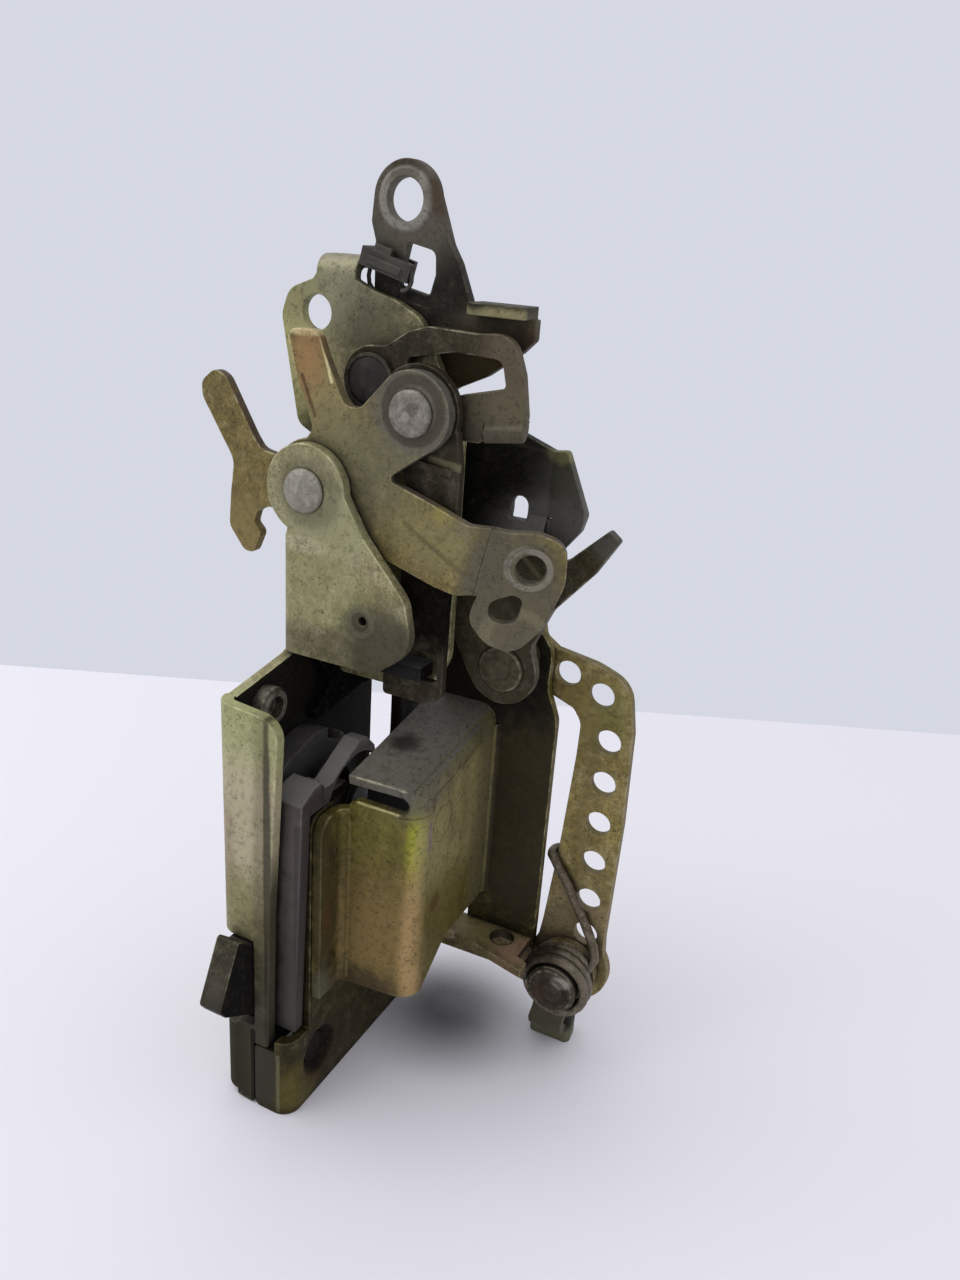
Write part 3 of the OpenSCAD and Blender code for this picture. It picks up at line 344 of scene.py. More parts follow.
# a piece keeps its CAD shape, but for what reshape and addition do, and its sharp edges are broken as on
# stamped or moulded pieces
def softenedCopy(node, width, reshape=None, addition=None, e=edgeValues):
    mesh = frame["nodes"][node].data.copy()
    if "custom_normal" in mesh.attributes:
        mesh.attributes.remove(mesh.attributes["custom_normal"])
    work = bmesh.new()
    work.from_mesh(mesh)
    bmesh.ops.remove_doubles(work, verts=work.verts, dist=e["merge"] if width else e["mergeWire"])
    if reshape:
        reshape(work)
    rim = work.faces.layers.float.new("rim")
    if width:
        bmesh.ops.dissolve_limit(work, angle_limit=radians(e["flat"]), verts=work.verts, edges=work.edges)
        sharp = [edge for edge in work.edges
                 if len(edge.link_faces) == 2 and edge.calc_face_angle() > radians(e["sharp"])
                 and roomFor(edge, width / e["roomShare"])]
        before = BVHTree.FromBMesh(work)
        made = bmesh.ops.bevel(work, geom=sharp, offset=width / 1000, offset_type="OFFSET",
                               segments=e["segments"], profile=e["profile"], affect="EDGES",
                               clamp_overlap=node in fineEdged)
        for vert in work.verts:  # nothing may stand away from the shape it had
            place, _, _, gap = before.find_nearest(vert.co)
            if gap > e["drift"] * width / 1000:
                vert.co = place
        # the broken edges are marked for pale wear and a painted highlight
        for face in made["faces"]:
            face[rim] = 1
    if addition:
        addition(work)
    for face in work.faces:
        face.smooth = True
    work.to_mesh(mesh)
    work.free()
    piece = bpy.data.objects.new(node + "_finished", mesh)
    bpy.context.scene.collection.objects.link(piece)
    weighted = piece.modifiers.new("evenShading", "WEIGHTED_NORMAL")
    weighted.weight = e["evenWeight"]
    return piece


# a piece of sheet from a grid of points in millimetres, each with the way to its inner side
def sheet(work, grid, depth):
    def placed(distance):
        return [[work.verts.new([(c + distance * i) / 1000 for c, i in zip(point, inward)])
                 for point, inward in row] for row in grid]

    outer, inner = placed(0), placed(depth)
    high, wide = len(grid) - 1, len(grid[0]) - 1
    for j in range(high):
        for i in range(wide):
            corners = [(j, i), (j, i + 1), (j + 1, i + 1), (j + 1, i)]
            work.faces.new([outer[a][b] for a, b in corners])
            work.faces.new([inner[a][b] for a, b in reversed(corners)])
    border = [(0, i) for i in range(wide)] + [(j, wide) for j in range(high)]
    border += [(high, i) for i in range(wide, 0, -1)] + [(j, 0) for j in range(high, 0, -1)]
    for (a, b), (c, d) in zip(border, border[1:] + border[:1]):
        work.faces.new([outer[c][d], outer[a][b], inner[a][b], inner[c][d]])


def flatSheet(work, y, depth, corners):  # across y, with the x and z of its two lower and two upper corners
    sheet(work, [[((x, y, z), (0, 1, 0)) for x, z in ends] for ends in corners], depth)


def upright(left, right, low, high):
    return ((left, low), (right, low)), ((left, high), (right, high))


def disc(work, middle, radius, depth, segments=40):  # a round plug lying across x
    place = Matrix.Translation([c / 1000 for c in middle]) @ Matrix.Rotation(pi / 2, 4, "Y")
    bmesh.ops.create_cone(work, cap_ends=True, segments=segments, radius1=radius / 1000,
                          radius2=radius / 1000, depth=depth / 1000, matrix=place)


def finish(node, look, values, edge=0.26, reshape=None, addition=None):
    piece = softenedCopy(node, edge, reshape, addition)
    piece.data.materials.clear()
    piece.data.materials.append(look(node + "Finish", values))
    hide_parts(node)
    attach(piece, frame["nodes"][node]["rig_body"])
    print(node, "finished:", len(piece.data.polygons), "faces")


basePlate = {**plating, "tints": [(153, 149, 110), (143, 136, 98), (168, 161, 129)], "cloud": 18,
             "film": 0.4, "filmTint": (112, 100, 66), "scuffTint": (176, 170, 142), "rim": 0.8,
             "rimTint": (206, 202, 160), "seed": 1,
             "marks": [
                 spot((3, -11, 80), (16, 12, 9), (168, 173, 122), 0.6),
                 spot((5, -11, 61), (14, 5, 14), (186, 176, 148), 0.7),
                 spot((1.5, -11, 53), (3, 5, 12), (128, 104, 84), 0.4),
                 spot((6, -11, 40), (12, 5, 9), (128, 122, 84), 0.6),
                 spot((11.6, -10, 40), (2.6, 3, 50), (92, 84, 60), 0.5),
                 spot((4, -6, 2), (16, 16, 16.5), (36, 32, 22), 0.95, soft=0.5, facing=(-0.35, -0.94, 0),
                      rough=0.85),
                 spot((4, -8, 9.5), (12, 9, 4), (44, 40, 30), 0.9, soft=0.5, facing=(0, 0, 1)),
                 spot((11, -11, 8), (3.4, 4, 26), (72, 68, 55), 0.85, soft=1.6),
                 spot((12.6, -10, 34), (1, 4, 62), (52, 48, 37), 0.8, soft=0.5, ragged=0.4),
                 line((8.5, -10.6, -11), (8.5, -10.6, 9), 0.8, (22, 20, 15), 0.95, soft=0.4),
                 spot((10, 9.5, 104), (12, 5, 8), (144, 142, 98), 0.5),
                 spot((13, 9.5, 117), (10, 5, 7), (158, 157, 120), 0.6),
                 spot((26, 9.5, 94), (10, 5, 9), (60, 57, 49), 0.85, soft=1.2),
                 spot((12, 9.5, 92), (16, 5, 4), (82, 76, 58), 0.6, soft=1),
                 spot((19.6, 9.5, 99), (3.2, 4, 3.2), (50, 44, 35), 0.75, ragged=0.3),
                 spot((19.6, 9.5, 99), (2.6, 4, 2.6), (150, 146, 120), 0.22, ragged=0.5, ring=0.5),
                 spot((7.3, 9.5, 123.1), (9.6, 30, 9.6), (150, 150, 120), 0.25, soft=0.3, ragged=0.1,
                      dent=-0.7),
                 spot((7.6, 9.5, 122.6), (5.4, 30, 5.4), (92, 88, 68), 0.5, soft=1.6, ragged=0.6, ring=0.6),
                 # painted highlight at the ear's waist, below the raised disc
                 spot((5, 9.5, 112.2), (7, 5, 1.6), (176, 172, 140), 0.6),
                 # grease and painted shade: near black on the plate's inner side, inside the case
                 spot((2.5, 22, 50), (4, 60, 80), (10, 9, 11), 0.98, soft=0.4, facing=(1, 0, 0), rough=0.95),
             ]}
finish("base_plate", platedSteel, basePlate)

innerPlate = {**plating, "tints": [(60, 53, 27), (50, 44, 22), (78, 69, 42)], "film": 0.5,
              "filmTint": (40, 32, 18), "specks": 0.8, "grimeTint": (16, 13, 9), "shine": 0.12,
              "rim": 0.7, "rimTint": (104, 98, 66), "seed": 2,
              "marks": [
                  spot((17, -6, -5), (6, 6, 7), (100, 91, 46), 0.75),
                  spot((15.8, 1.4, -1), (9, 7.6, 7.6), (46, 27, 10), 0.9, soft=1),
                  spot((15.8, 0.4, 0), (9, 5.6, 5.6), (16, 10, 5), 0.97, soft=0.4, ragged=0.4),
                  spot((18, -3.4, 1.5), (2, 2, 5), (24, 18, 9), 0.8),
                  spot((10, -11, -1), (4.8, 3, 13), (54, 50, 40), 0.92, soft=0.4, ragged=0.4),
                  line((14.9, -11, -10), (14.9, -11, 5), 0.45, (118, 113, 84), 0.6, ragged=1),
                  # the next two: grease and painted shade, near black inside the case and on the plate's
                  # inner side
                  spot((10, 30, 70), (30, 30, 30), (20, 18, 17), 0.9, soft=0.4),
                  spot((18, 24, 50), (3, 18, 30), (12, 11, 10), 0.97, soft=0.4, facing=(1, 0, 0), rough=0.95),
              ]}
screwDirt = {"middle": (16, 0, 0), "radius": 3.28, "depth": 0.8}  # packed in the lower screw hole
finish("inner_plate", platedSteel, innerPlate, addition=lambda work: disc(work, **screwDirt))

guardCover = {**plating, "tints": [(105, 95, 45), (91, 81, 37), (124, 110, 62)], "cloud": 13,
              "film": 0.5, "filmTint": (66, 54, 30), "specks": 0.85, "speckTint": (46, 37, 22),
              "rim": 0.7, "rimTint": (190, 182, 130), "grimeTint": (24, 20, 13), "seed": 3,
              "marks": [
                  spot((28, 4, 59), (9, 5, 12), (112, 108, 46), 0.45),
                  spot((29, 4, 28), (11, 5, 18), (134, 112, 68), 0.75, soft=1.2),
                  spot((28, 4, 17.6), (12, 6, 5), (58, 48, 31), 0.85, soft=1.3, ragged=1.6),
                  # the next two: painted highlight down the rounded front right corner, lime above and beige
                  # below
                  spot((36.7, 5.6, 57), (1.5, 2.4, 9), (166, 168, 56), 0.85, soft=1.5),
                  spot((36.6, 5.8, 30), (2, 2.8, 19), (172, 144, 98), 0.85, soft=1.3),
                  spot((38, 20, 57), (4, 15, 19), (152, 142, 98), 0.8, facing=(1, 0, 0)),
                  spot((38, 18, 33), (4, 12, 12), (98, 88, 42), 0.6, facing=(1, 0, 0)),
                  spot((38, 34, 45), (4, 5, 30), (110, 104, 75), 0.75, soft=1.2, facing=(1, 0, 0)),
                  line((37.9, 16, 70), (38, 19.6, 52), 1.5, (70, 56, 38), 0.28, soft=1.6),
                  line((38, 23, 68), (38, 25, 50), 2, (76, 60, 40), 0.26, soft=1.6),
                  # painted highlight along the flap's side edge
                  line((36.9, 8, 69.3), (37.3, 20, 71.4), 0.4, (176, 164, 132), 0.6, ragged=1),
                  spot((38, 12.5, 39), (2, 2, 2), (84, 54, 30), 0.6),
                  # painted highlight: pale crescent on the lit edge of the pressed mark
                  spot((38, 9.2, 57), (2, 0.8, 4), (134, 122, 128), 0.6, ragged=0.4),
                  spot((29, 22, 73), (20, 30, 7), (106, 104, 98), 0.9, soft=0.5, facing=(0, -0.17, 0.98)),
                  spot((36, 6, 67.5), (8, 12, 5.5), (96, 93, 80), 0.8, soft=1.2),
                  spot((27, 3, 68), (13, 4, 3.2), (100, 97, 90), 0.85, soft=0.8),
                  # painted highlight along the flap's rounded front edge
                  line((24, 3, 69), (36, 4, 68.4), 0.35, (196, 190, 160), 0.6, ragged=1.6),
                  line((24, 4, 63), (33, 4, 63), 0.4, (206, 196, 140), 0.6, ragged=1.5),
                  spot((38, 22, 72), (4, 16, 4.5), (92, 88, 68), 0.75, soft=1, facing=(1, 0, 0)),
                  spot((26.5, 17.4, 71.5), (3, 3, 3), (34, 32, 28), 0.85, soft=1),
                  spot((21, -3, 40), (3.2, 6, 30), (64, 57, 32), 0.85),
                  line((21.6, -5, 66), (21.4, -5, 18), 1.6, (74, 60, 62), 0.4),
                  spot((20.2, -1, 37), (2, 1.6, 4), (104, 56, 44), 0.3),
                  spot((20.2, -3.2, 19.5), (3, 3, 4), (86, 88, 66), 0.8),
                  # painted highlight along the fold between the flange and the front wall
                  line((22, 3.7, 62), (22, 3.7, 19), 0.4, (150, 136, 92), 0.6, ragged=1.4),
                  spot((45.3, 37.5, 53.8), (14, 3, 46), (43, 39, 27), 0.9, facing=(0, -1, 0)),
                  spot((30, 37.5, 84), (22, 3, 15), (20, 18, 13), 0.95, facing=(0, -1, 0), rough=0.9),
              ]}
# front right corner of the cover in millimetres: its rounding, the slot's end along it, and the flap's fold
coverCorner = {"middle": (33, 9), "radius": 5, "proud": 0.03, "low": 62.2, "side": 10.6, "thick": 1.8,
               "slotEnd": 0.4, "slotMiddle": 64.9, "slotRadius": 2.1, "flapLow": 63.2, "foldFront": 3,
               "foldMiddle": (34, 65), "foldRadius": 4, "tilt": 0.171, "under": 0.35, "steps": 10}
flapSeam = {"proud": 0.04, "tilt": 0.1735, "turn": 0.15, "steps": 6, "skirt": 0.9, "thick": 1.2,
            "rows": (4.6, 5.6, 6.6, 7.6, 9, 14, 20, 26, 31)}
pressedMark = {"middle": (37.7, 14, 58), "radius": 4.44, "depth": 0.44}  # it is only a shallow line
# the corner where flap, wing and outer wall meet, the foot of the wing, and the front wall below the slot
coverPieces = {"corner": {"y": 37.6, "depth": 1.9, "corners": upright(36.4, 39.6, 69.5, 74.4)},
               "wingFoot": {"y": 37.6, "depth": 2, "corners": upright(34.5, 51.8, 16.6, 28)},
               "wallEnd": {"y": 3.98, "depth": 1.8,
                           "corners": (((21.95, 58), (26.4, 58)), ((21.95, 62.1), (26.4, 63)))}}


def roundedFlap(work, c=coverCorner):  # the flap follows the rounding of the corner below it
    for vert in work.verts:
        x, y, z = (1000 * a for a in vert.co)
        away = Vector((x - c["middle"][0], y - c["middle"][1]))
        if z > c["flapLow"] and away.x > 0 > away.y and away.length > c["radius"]:
            away *= c["radius"] / away.length
            vert.co.x, vert.co.y = (c["middle"][0] + away.x) / 1000, (c["middle"][1] + away.y) / 1000


def closedSlot(work, c=coverCorner):  # the corner goes on up to the flap and closes the slot's right end
    (mx, my), r = c["middle"], c["radius"] + c["proud"]
    fx, fz = c["foldMiddle"]
    steps = c["steps"]

    def ceiling(x, y):  # just under the flap
        over = max(0, min(1, (x - fx) / c["foldRadius"]))
        bend = c["foldRadius"] * (1 - over * over) ** 0.5
        return fz + bend + (y - c["foldFront"]) * c["tilt"] - c["under"]

    top = ceiling(mx, my - r)
    grid = []
    for j in range(steps + 1):
        part = j / steps
        up = c["low"] + part * (top - c["low"])
        start = c["slotEnd"] + max(0, c["slotRadius"] ** 2 - (up - c["slotMiddle"]) ** 2) ** 0.5
        row = []
        for i in range(steps + 1):
            a = (start + (r * pi / 2 - start) * i / steps) / r
            x, y = mx + r * sin(a), my - r * cos(a)
            row.append(((x, y, c["low"] + part * (ceiling(x, y) - c["low"])), (-sin(a), cos(a), 0)))
        row.append(((mx + r, c["side"], row[-1][0][2] + (c["side"] - my) * c["tilt"]), (-1, 0, 0)))
        grid.append(row)
    sheet(work, grid, c["thick"])


def closedSeam(work, c=coverCorner, s=flapSeam):  # along the flap's fold, inside the corner's rounding
    (mx, my), (fx, fz) = c["middle"], c["foldMiddle"]
    bend = c["foldRadius"] + s["proud"]
    grid = []
    for a, below in [(0, s["skirt"])] + [(s["turn"] * i, 0) for i in range(s["steps"])]:
        row = []
        for y in s["rows"]:
            away = Vector((fx + bend * cos(a) - mx, min(0, y - my)))
            away *= min(1, (c["radius"] + s["proud"]) / away.length)
            z = fz + (y - c["foldFront"]) * s["tilt"] + bend * sin(a) - below
            row.append(((mx + away.x, max(y, my + away.y), z), (-1, 0, 0)))
        grid.append(row)
    sheet(work, grid, s["thick"])


def closedCover(work):
    closedSlot(work)
    disc(work, **pressedMark)
    closedSeam(work)
    for piece in coverPieces.values():
        flatSheet(work, **piece)


finish("guard_cover", platedSteel, guardCover, reshape=roundedFlap, addition=closedCover)

stopBlock = {"tints": [(88, 82, 76), (74, 68, 63)], "cloud": 12, "dust": 0.4, "dustTint": (92, 88, 80),
             "scrapes": 0.5, "scrapeTint": (108, 104, 102), "rim": 0.7, "rimTint": (112, 108, 108),
             "rough": (0.5, 0.75), "texture": 0.03, "grime": 0.85, "grimeTint": (20, 18, 17), "shine": 0.25,
             "marks": [
                 spot((14, 0, 67), (10, 16, 14), (100, 97, 95), 0.8, facing=(0, -0.4, 0.9)),
                 # painted shade: the block's right-facing side is darker
                 spot((17.4, -2, 34), (2, 14, 46), (44, 37, 35), 0.8, facing=(1, 0, 0)),
                 spot((14, -7, 18), (5, 5, 22), (63, 63, 57), 0.75, soft=1.3),
                 line((17, -7, 60), (17, -7, 8), 0.8, (50, 41, 44), 0.5, ragged=0.3),
             ]}
finish("plastic_housing", mouldedBlack, stopBlock, 0.4)

leverPlate = {**plating, "tints": [(145, 139, 104), (129, 124, 90), (158, 154, 119)],
              "filmTint": (102, 93, 63), "seed": 4, "specks": 0.9, "rim": 0.7, "rimTint": (196, 192, 152),
              "marks": [
                  spot((-5, 22, 144), (8, 5, 22), (172, 168, 115), 0.75, soft=1.2),
                  spot((6, 22, 158), (9, 4, 8), (134, 131, 109), 0.75, soft=1.3),
                  spot((14, 22, 152), (8, 4, 9), (74, 68, 52), 0.7, soft=1.2),
                  spot((-6, 22, 160), (6, 4, 7), (132, 130, 92), 0.6),
                  spot((0, 24, 164.8), (12, 4, 2.6), (154, 150, 121), 0.6),
                  spot((0, 25, 167), (12, 8, 3), (141, 136, 118), 0.7, facing=(0, -0.3, 0.9)),
                  spot((6, 22, 130), (14, 4, 8), (40, 37, 30), 0.8, soft=1),
              ]}
finish("lever_plate", platedSteel, leverPlate)

channelHousing = {**plating, "tints": [(30, 29, 23), (23, 22, 18), (44, 42, 35)], "filmTint": (18, 17, 13),
                  "rimTint": (126, 120, 96), "rim": 0.5, "grimeTint": (8, 8, 6), "grimeReach": 12,
                  "scuffTint": (92, 90, 84), "specks": 0.4, "shine": 0.2, "seed": 5,
                  "marks": [
                      spot((53, 31, 124), (8, 8, 9), (90, 89, 79), 0.85, soft=1.2),
                      spot((49, 31, 118), (12, 8, 6.4), (112, 110, 106), 0.85, soft=1),
                      spot((43, 30, 112), (14, 20, 4), (92, 90, 86), 0.6, facing=(0, 0, 1)),
                      # the next two: painted highlights at the notch and along the fold
                      spot((49, 32, 133), (3, 4, 2.2), (140, 138, 94), 0.6),
                      line((34, 33, 133.6), (48, 33, 132.6), 0.5, (84, 80, 66), 0.5, ragged=1),
                  ]}


channelPieces = {"y": 33.35, "depth": 1.2,
                 "corners": (upright(28.4, 36.5, 129, 134.6), upright(28.4, 31, 112, 121),
                             upright(46.4, 49.6, 112, 119.6))}


def closedChannel(work, c=channelPieces):  # the channel goes on behind the levers, without gaps
    for corners in c["corners"]:
        flatSheet(work, c["y"], c["depth"], corners)


finish("channel_housing", platedSteel, channelHousing, addition=closedChannel)

armBracket = {**plating, "tints": [(110, 98, 67), (98, 85, 56), (126, 112, 82)], "filmTint": (66, 55, 36),
              "seed": 6, "rim": 0.6, "rimTint": (160, 148, 120),
              "marks": [
                  spot((51, 31.5, 19.2), (6, 5, 5), (160, 132, 110), 0.8),
                  spot((41.5, 34.5, 19.2), (7, 5, 4), (138, 126, 84), 0.75),
                  spot((45.6, 33.5, 17.8), (3, 3, 12), (38, 32, 20), 0.95, soft=0.12, ragged=0.05),
                  spot((57, 37, -6), (9, 9, 12), (74, 72, 60), 0.9, soft=0.6),
              ]}
finish("arm_bracket", platedSteel, armBracket)

footPad = {"tints": [(40, 40, 31), (32, 32, 25)], "cloud": 6, "dust": 0.4, "dustTint": (62, 62, 48),
           "scrapes": 0.3, "scrapeTint": (84, 84, 68), "rim": 0.6, "rimTint": (84, 84, 66),
           "rough": (0.65, 0.9), "texture": 0.05, "grime": 0.6, "grimeTint": (16, 16, 13), "shine": 0.2,
           "marks": [spot((57, 44, -10), (14, 14, 3.4), (104, 104, 82), 0.8)]}
finish("foot_pad", mouldedBlack, footPad, 0.8)

catchHook = {**plating, "tints": [(61, 57, 46), (50, 47, 38), (78, 74, 60)], "filmTint": (37, 33, 25),
             "rim": 0.7, "rimTint": (126, 122, 104), "metal": 0.15, "shine": 0.1, "seed": 7,
             "marks": [
                 spot((8.6, -14, 24), (2, 12, 12), (15, 14, 14), 0.97, soft=0.3, facing=(1, 0, 0), rough=0.9),
                 line((-1, -20, 33), (2, -20.6, 20), 0.8, (150, 146, 126), 0.7, ragged=1.2),
                 spot((6, -19, 24), (2, 4, 3), (104, 100, 88), 0.35),
                 spot((4, -19.5, 19.5), (6, 5, 6), (46, 43, 37), 0.75, soft=1.3, facing=(-0.3, -0.95, 0)),
                 spot((6, 8, 66), (8, 16, 14), (70, 68, 69), 0.8),
             ]}
finish("catch", platedSteel, catchHook)

# near black pawl: grease and painted shade inside the case
pawlHook = {**catchHook, "tints": [(9, 8, 10), (7, 6, 8), (15, 14, 16)], "filmTint": (12, 11, 11),
            "rim": 0.3, "rimTint": (66, 64, 66), "shine": 0.02, "rough": (0.8, 0.95), "scuffs": 0,
            "metal": 0, "seed": 8,
            "marks": [
                spot((29, 16, 90.6), (9, 9, 4), (76, 76, 80), 0.85, soft=1.2, facing=(0, 0, 1)),
                spot((28, 11, 88), (9, 4, 4), (46, 45, 47), 0.7, facing=(0, -1, 0)),
            ]}
finish("pawl", platedSteel, pawlHook)

crossLever = {**plating, "tints": [(119, 106, 63), (108, 95, 54), (134, 121, 79)], "cloud": 12,
              "film": 0.4, "filmTint": (86, 72, 42), "cutAxis": (0, 1, 0), "cutTint": (74, 58, 66),
              "cut": 0.75, "rim": 0.65, "rimTint": (176, 166, 126), "seed": 9,
              "marks": [
                  spot((9.5, 12.5, 138), (6, 5, 9), (146, 135, 94), 0.6, soft=1.2),
                  # the next three: painted highlights on the finger tip's top and side edges
                  spot((4, 12.5, 152), (5, 6, 0.8), (226, 216, 164), 0.75, soft=0.9),
                  line((7.6, 12.5, 151.3), (10.2, 12.5, 143.5), 0.3, (222, 212, 160), 0.75, ragged=1.2),
                  line((0.4, 12.5, 150.6), (2.4, 12.5, 142), 0.5, (206, 196, 140), 0.6, ragged=1),
                  spot((4.9, 12.5, 147.4), (2.9, 5, 5.6), (156, 122, 82), 0.8, soft=1.7, ragged=1.2),
                  line((3.6, 12.5, 144), (6.6, 12.5, 136.8), 0.35, (82, 56, 34), 0.8, soft=1.4, ragged=2),
                  spot((17, 12.5, 128), (12, 5, 10), (109, 110, 88), 0.6, soft=1.2),
                  spot((14, 12.5, 119), (7, 5, 8), (82, 76, 56), 0.5, soft=1.2),
                  spot((30, 12.5, 142.5), (11.5, 5, 11.5), (97, 96, 90), 0.75, soft=0.6, ragged=0.4),
                  spot((27.7, 12.5, 140.4), (5.6, 30, 5.6), (54, 48, 36), 0.6, ragged=0.2, ring=0.35),
                  spot((34, 12.5, 117), (9, 5, 6), (136, 130, 90), 0.6, soft=1.2),
                  line((27, 12.5, 119.5), (40, 12.5, 112), 0.5, (70, 60, 40), 0.4, ragged=1),
                  # painted shade along the bend of the eye plate
                  line((45, 12.6, 121), (41.6, 12.6, 106), 2.6, (78, 70, 50), 0.75, soft=1.8),
                  spot((-10.3, 12.5, 111.4), (7, 5, 7), (134, 119, 76), 0.7),
                  spot((48.5, 15.5, 108.5), (9.6, 12, 15), (96, 92, 76), 0.85, soft=0.5, ragged=0.4),
                  spot((51.5, 16, 114.7), (3.7, 20, 3.7), (146, 140, 128), 0.6, soft=0.9, ragged=0.5,
                       ring=0.34),
                  spot((50, 15.5, 100.5), (5.6, 20, 5.2), (134, 128, 100), 0.4, soft=1, ragged=0.6, ring=0.4),
                  spot((34.3, 12.5, 122.5), (1.4, 3, 1.4), (150, 140, 70), 0.4),
                  spot((39.6, 12.5, 120.6), (2, 3, 1.6), (112, 100, 106), 0.25),
              ]}
finish("cross_lever", platedSteel, crossLever)

strapLink = {**plating, "tints": [(64, 59, 48), (54, 49, 38), (82, 77, 64)], "filmTint": (42, 36, 27),
             "cutAxis": (0, 1, 0), "cutTint": (50, 42, 32), "rim": 0.12, "seed": 10, "shine": 0.1,
             "marks": [
                 spot((33.5, 16, 107), (9, 5, 13), (10, 9, 5), 0.95, soft=0.6, rough=0.85),
                 spot((38, 16, 134), (3, 5, 16), (70, 65, 54), 0.5),
                 line((30, 16, 131.5), (38, 16, 130.4), 0.7, (128, 122, 92), 0.6, ragged=1),
             ]}
finish("strap_link", platedSteel, strapLink)

windowLever = {**plating, "tints": [(58, 53, 39), (49, 45, 33), (78, 71, 56)], "filmTint": (40, 35, 25),
               "cutAxis": (0, 1, 0), "cutTint": (84, 78, 64), "rim": 0.7, "rimTint": (146, 138, 116),
               "seed": 11, "shine": 0.15,
               "marks": [
                   spot((43.5, 19.6, 150), (6, 5, 13), (98, 88, 71), 0.85, soft=0.8),
                   spot((38, 19.6, 141.5), (12, 5, 4), (98, 92, 72), 0.8, soft=0.8),
                   spot((38, 18.6, 137.4), (14, 8, 2), (92, 86, 72), 0.75),
                   # painted highlight along the lip of the foot
                   line((40, 18, 138.4), (46, 18.4, 139.6), 0.6, (198, 190, 164), 0.6, ragged=1),
               ]}
finish("window_lever", platedSteel, windowLever)

handleLever = {**plating, "tints": [(38, 36, 31), (31, 29, 25), (54, 51, 45)], "filmTint": (26, 23, 18),
               "cutAxis": (0, 1, 0), "cutTint": (66, 60, 52), "rim": 0.5, "rimTint": (128, 122, 104),
               "seed": 12, "shine": 0.12,
               "marks": [
                   spot((18.5, 24.7, 175.6), (11, 12, 11), (98, 93, 82), 0.8, soft=0.9),
                   spot((17.4, 24.7, 175.6), (4.7, 30, 4.7), (150, 146, 136), 0.65, ragged=0.4, ring=0.36),
                   spot((26, 24, 177), (4, 8, 4), (66, 46, 28), 0.6),
                   spot((17, 24, 181), (3, 8, 4), (54, 42, 26), 0.5),
                   spot((44, 19, 159.6), (14, 14, 2.4), (70, 66, 50), 0.9, facing=(0, 0, 1)),
                   # painted highlight along the tab's front edge
                   spot((44, 19, 157.5), (14, 3, 1.6), (160, 152, 112), 0.7),
                   spot((42, 24.7, 155.3), (13, 4, 3.2), (92, 84, 66), 0.8),
                   spot((44, 24, 150.5), (10, 8, 5), (50, 34, 26), 0.6),
                   spot((32.5, 24.7, 147.2), (7, 4, 6), (66, 56, 34), 0.8),
               ]}
finish("handle_lever", platedSteel, handleLever)

tailLever = {**plating, "tints": [(66, 61, 43), (56, 51, 34), (82, 78, 62)], "filmTint": (44, 38, 24),
             "cutAxis": (0, 1, 0), "cutTint": (92, 88, 76), "seed": 13,
             "marks": [
                 spot((62.5, 27.5, 119), (3.5, 5, 3.5), (78, 77, 70), 0.8),
                 line((43.6, 27.5, 114.4), (50, 27.5, 108.6), 0.5, (112, 106, 80), 0.6, ragged=0.8),
             ]}
# its shoulder goes on behind the upper hole of the eye plate
shoulder = {"y": 27.52, "depth": 2, "corners": (((41.4, 107), (51.6, 107.6)), ((41.4, 115.4), (51.6, 116)))}
finish("tail_lever", platedSteel, tailLever, addition=lambda work: flatSheet(work, **shoulder))

perforatedArm = {**plating, "tints": [(146, 132, 80), (132, 118, 70), (160, 147, 102)],
                 "filmTint": (100, 86, 50), "cutAxis": (0, 1, 0), "cutTint": (98, 88, 62), "rim": 0.5,
                 "rimTint": (168, 158, 128), "seed": 14,
                 "marks": [
                     spot((57, 40.3, 78), (9, 4, 8), (118, 104, 56), 0.6),
                     spot((62.8, 40.3, 77.4), (4, 4, 8), (120, 120, 66), 0.4),
                     spot((60, 40.3, 22), (9, 4, 14), (132, 118, 94), 0.7, soft=1),
                     spot((60, 40.3, 50), (2.5, 4, 26), (108, 94, 58), 0.4),
                 ]}
finish("perforated_arm", platedSteel, perforatedArm)

# rivets and studs: barer and more even than the plates, with grime and painted shade only close beside them
rivetSteel = {**plating, "tints": [(144, 140, 127), (134, 129, 116), (158, 154, 144)], "cloud": 7,
              "film": 0.25, "filmTint": (98, 90, 76), "grain": 0.35, "specks": 0.45, "metal": 0.5,
              "rough": (0.36, 0.58), "grimeReach": 2.5}
earRivet = {**rivetSteel, "seed": 15}
finish("ear_rivet", platedSteel, earRivet)
crossRivet = {**rivetSteel, "tints": [(130, 125, 115), (118, 113, 103), (148, 143, 134)], "seed": 16,
              "marks": [
                  spot((28.4, 11, 141), (1.2, 2, 1.2), (84, 78, 70), 0.6),
                  spot((27, 11, 139.4), (0.8, 2, 0.8), (164, 158, 150), 0.6),
              ]}
finish("cross_rivet", platedSteel, crossRivet)
tailStud = {**rivetSteel, "tints": [(74, 68, 50), (64, 57, 41), (90, 84, 66)], "seed": 17}
finish("tail_stud", platedSteel, tailStud)
handleStud = {**rivetSteel, "tints": [(66, 62, 54), (54, 50, 44), (84, 80, 72)], "seed": 18}
finish("handle_stud", platedSteel, handleStud)
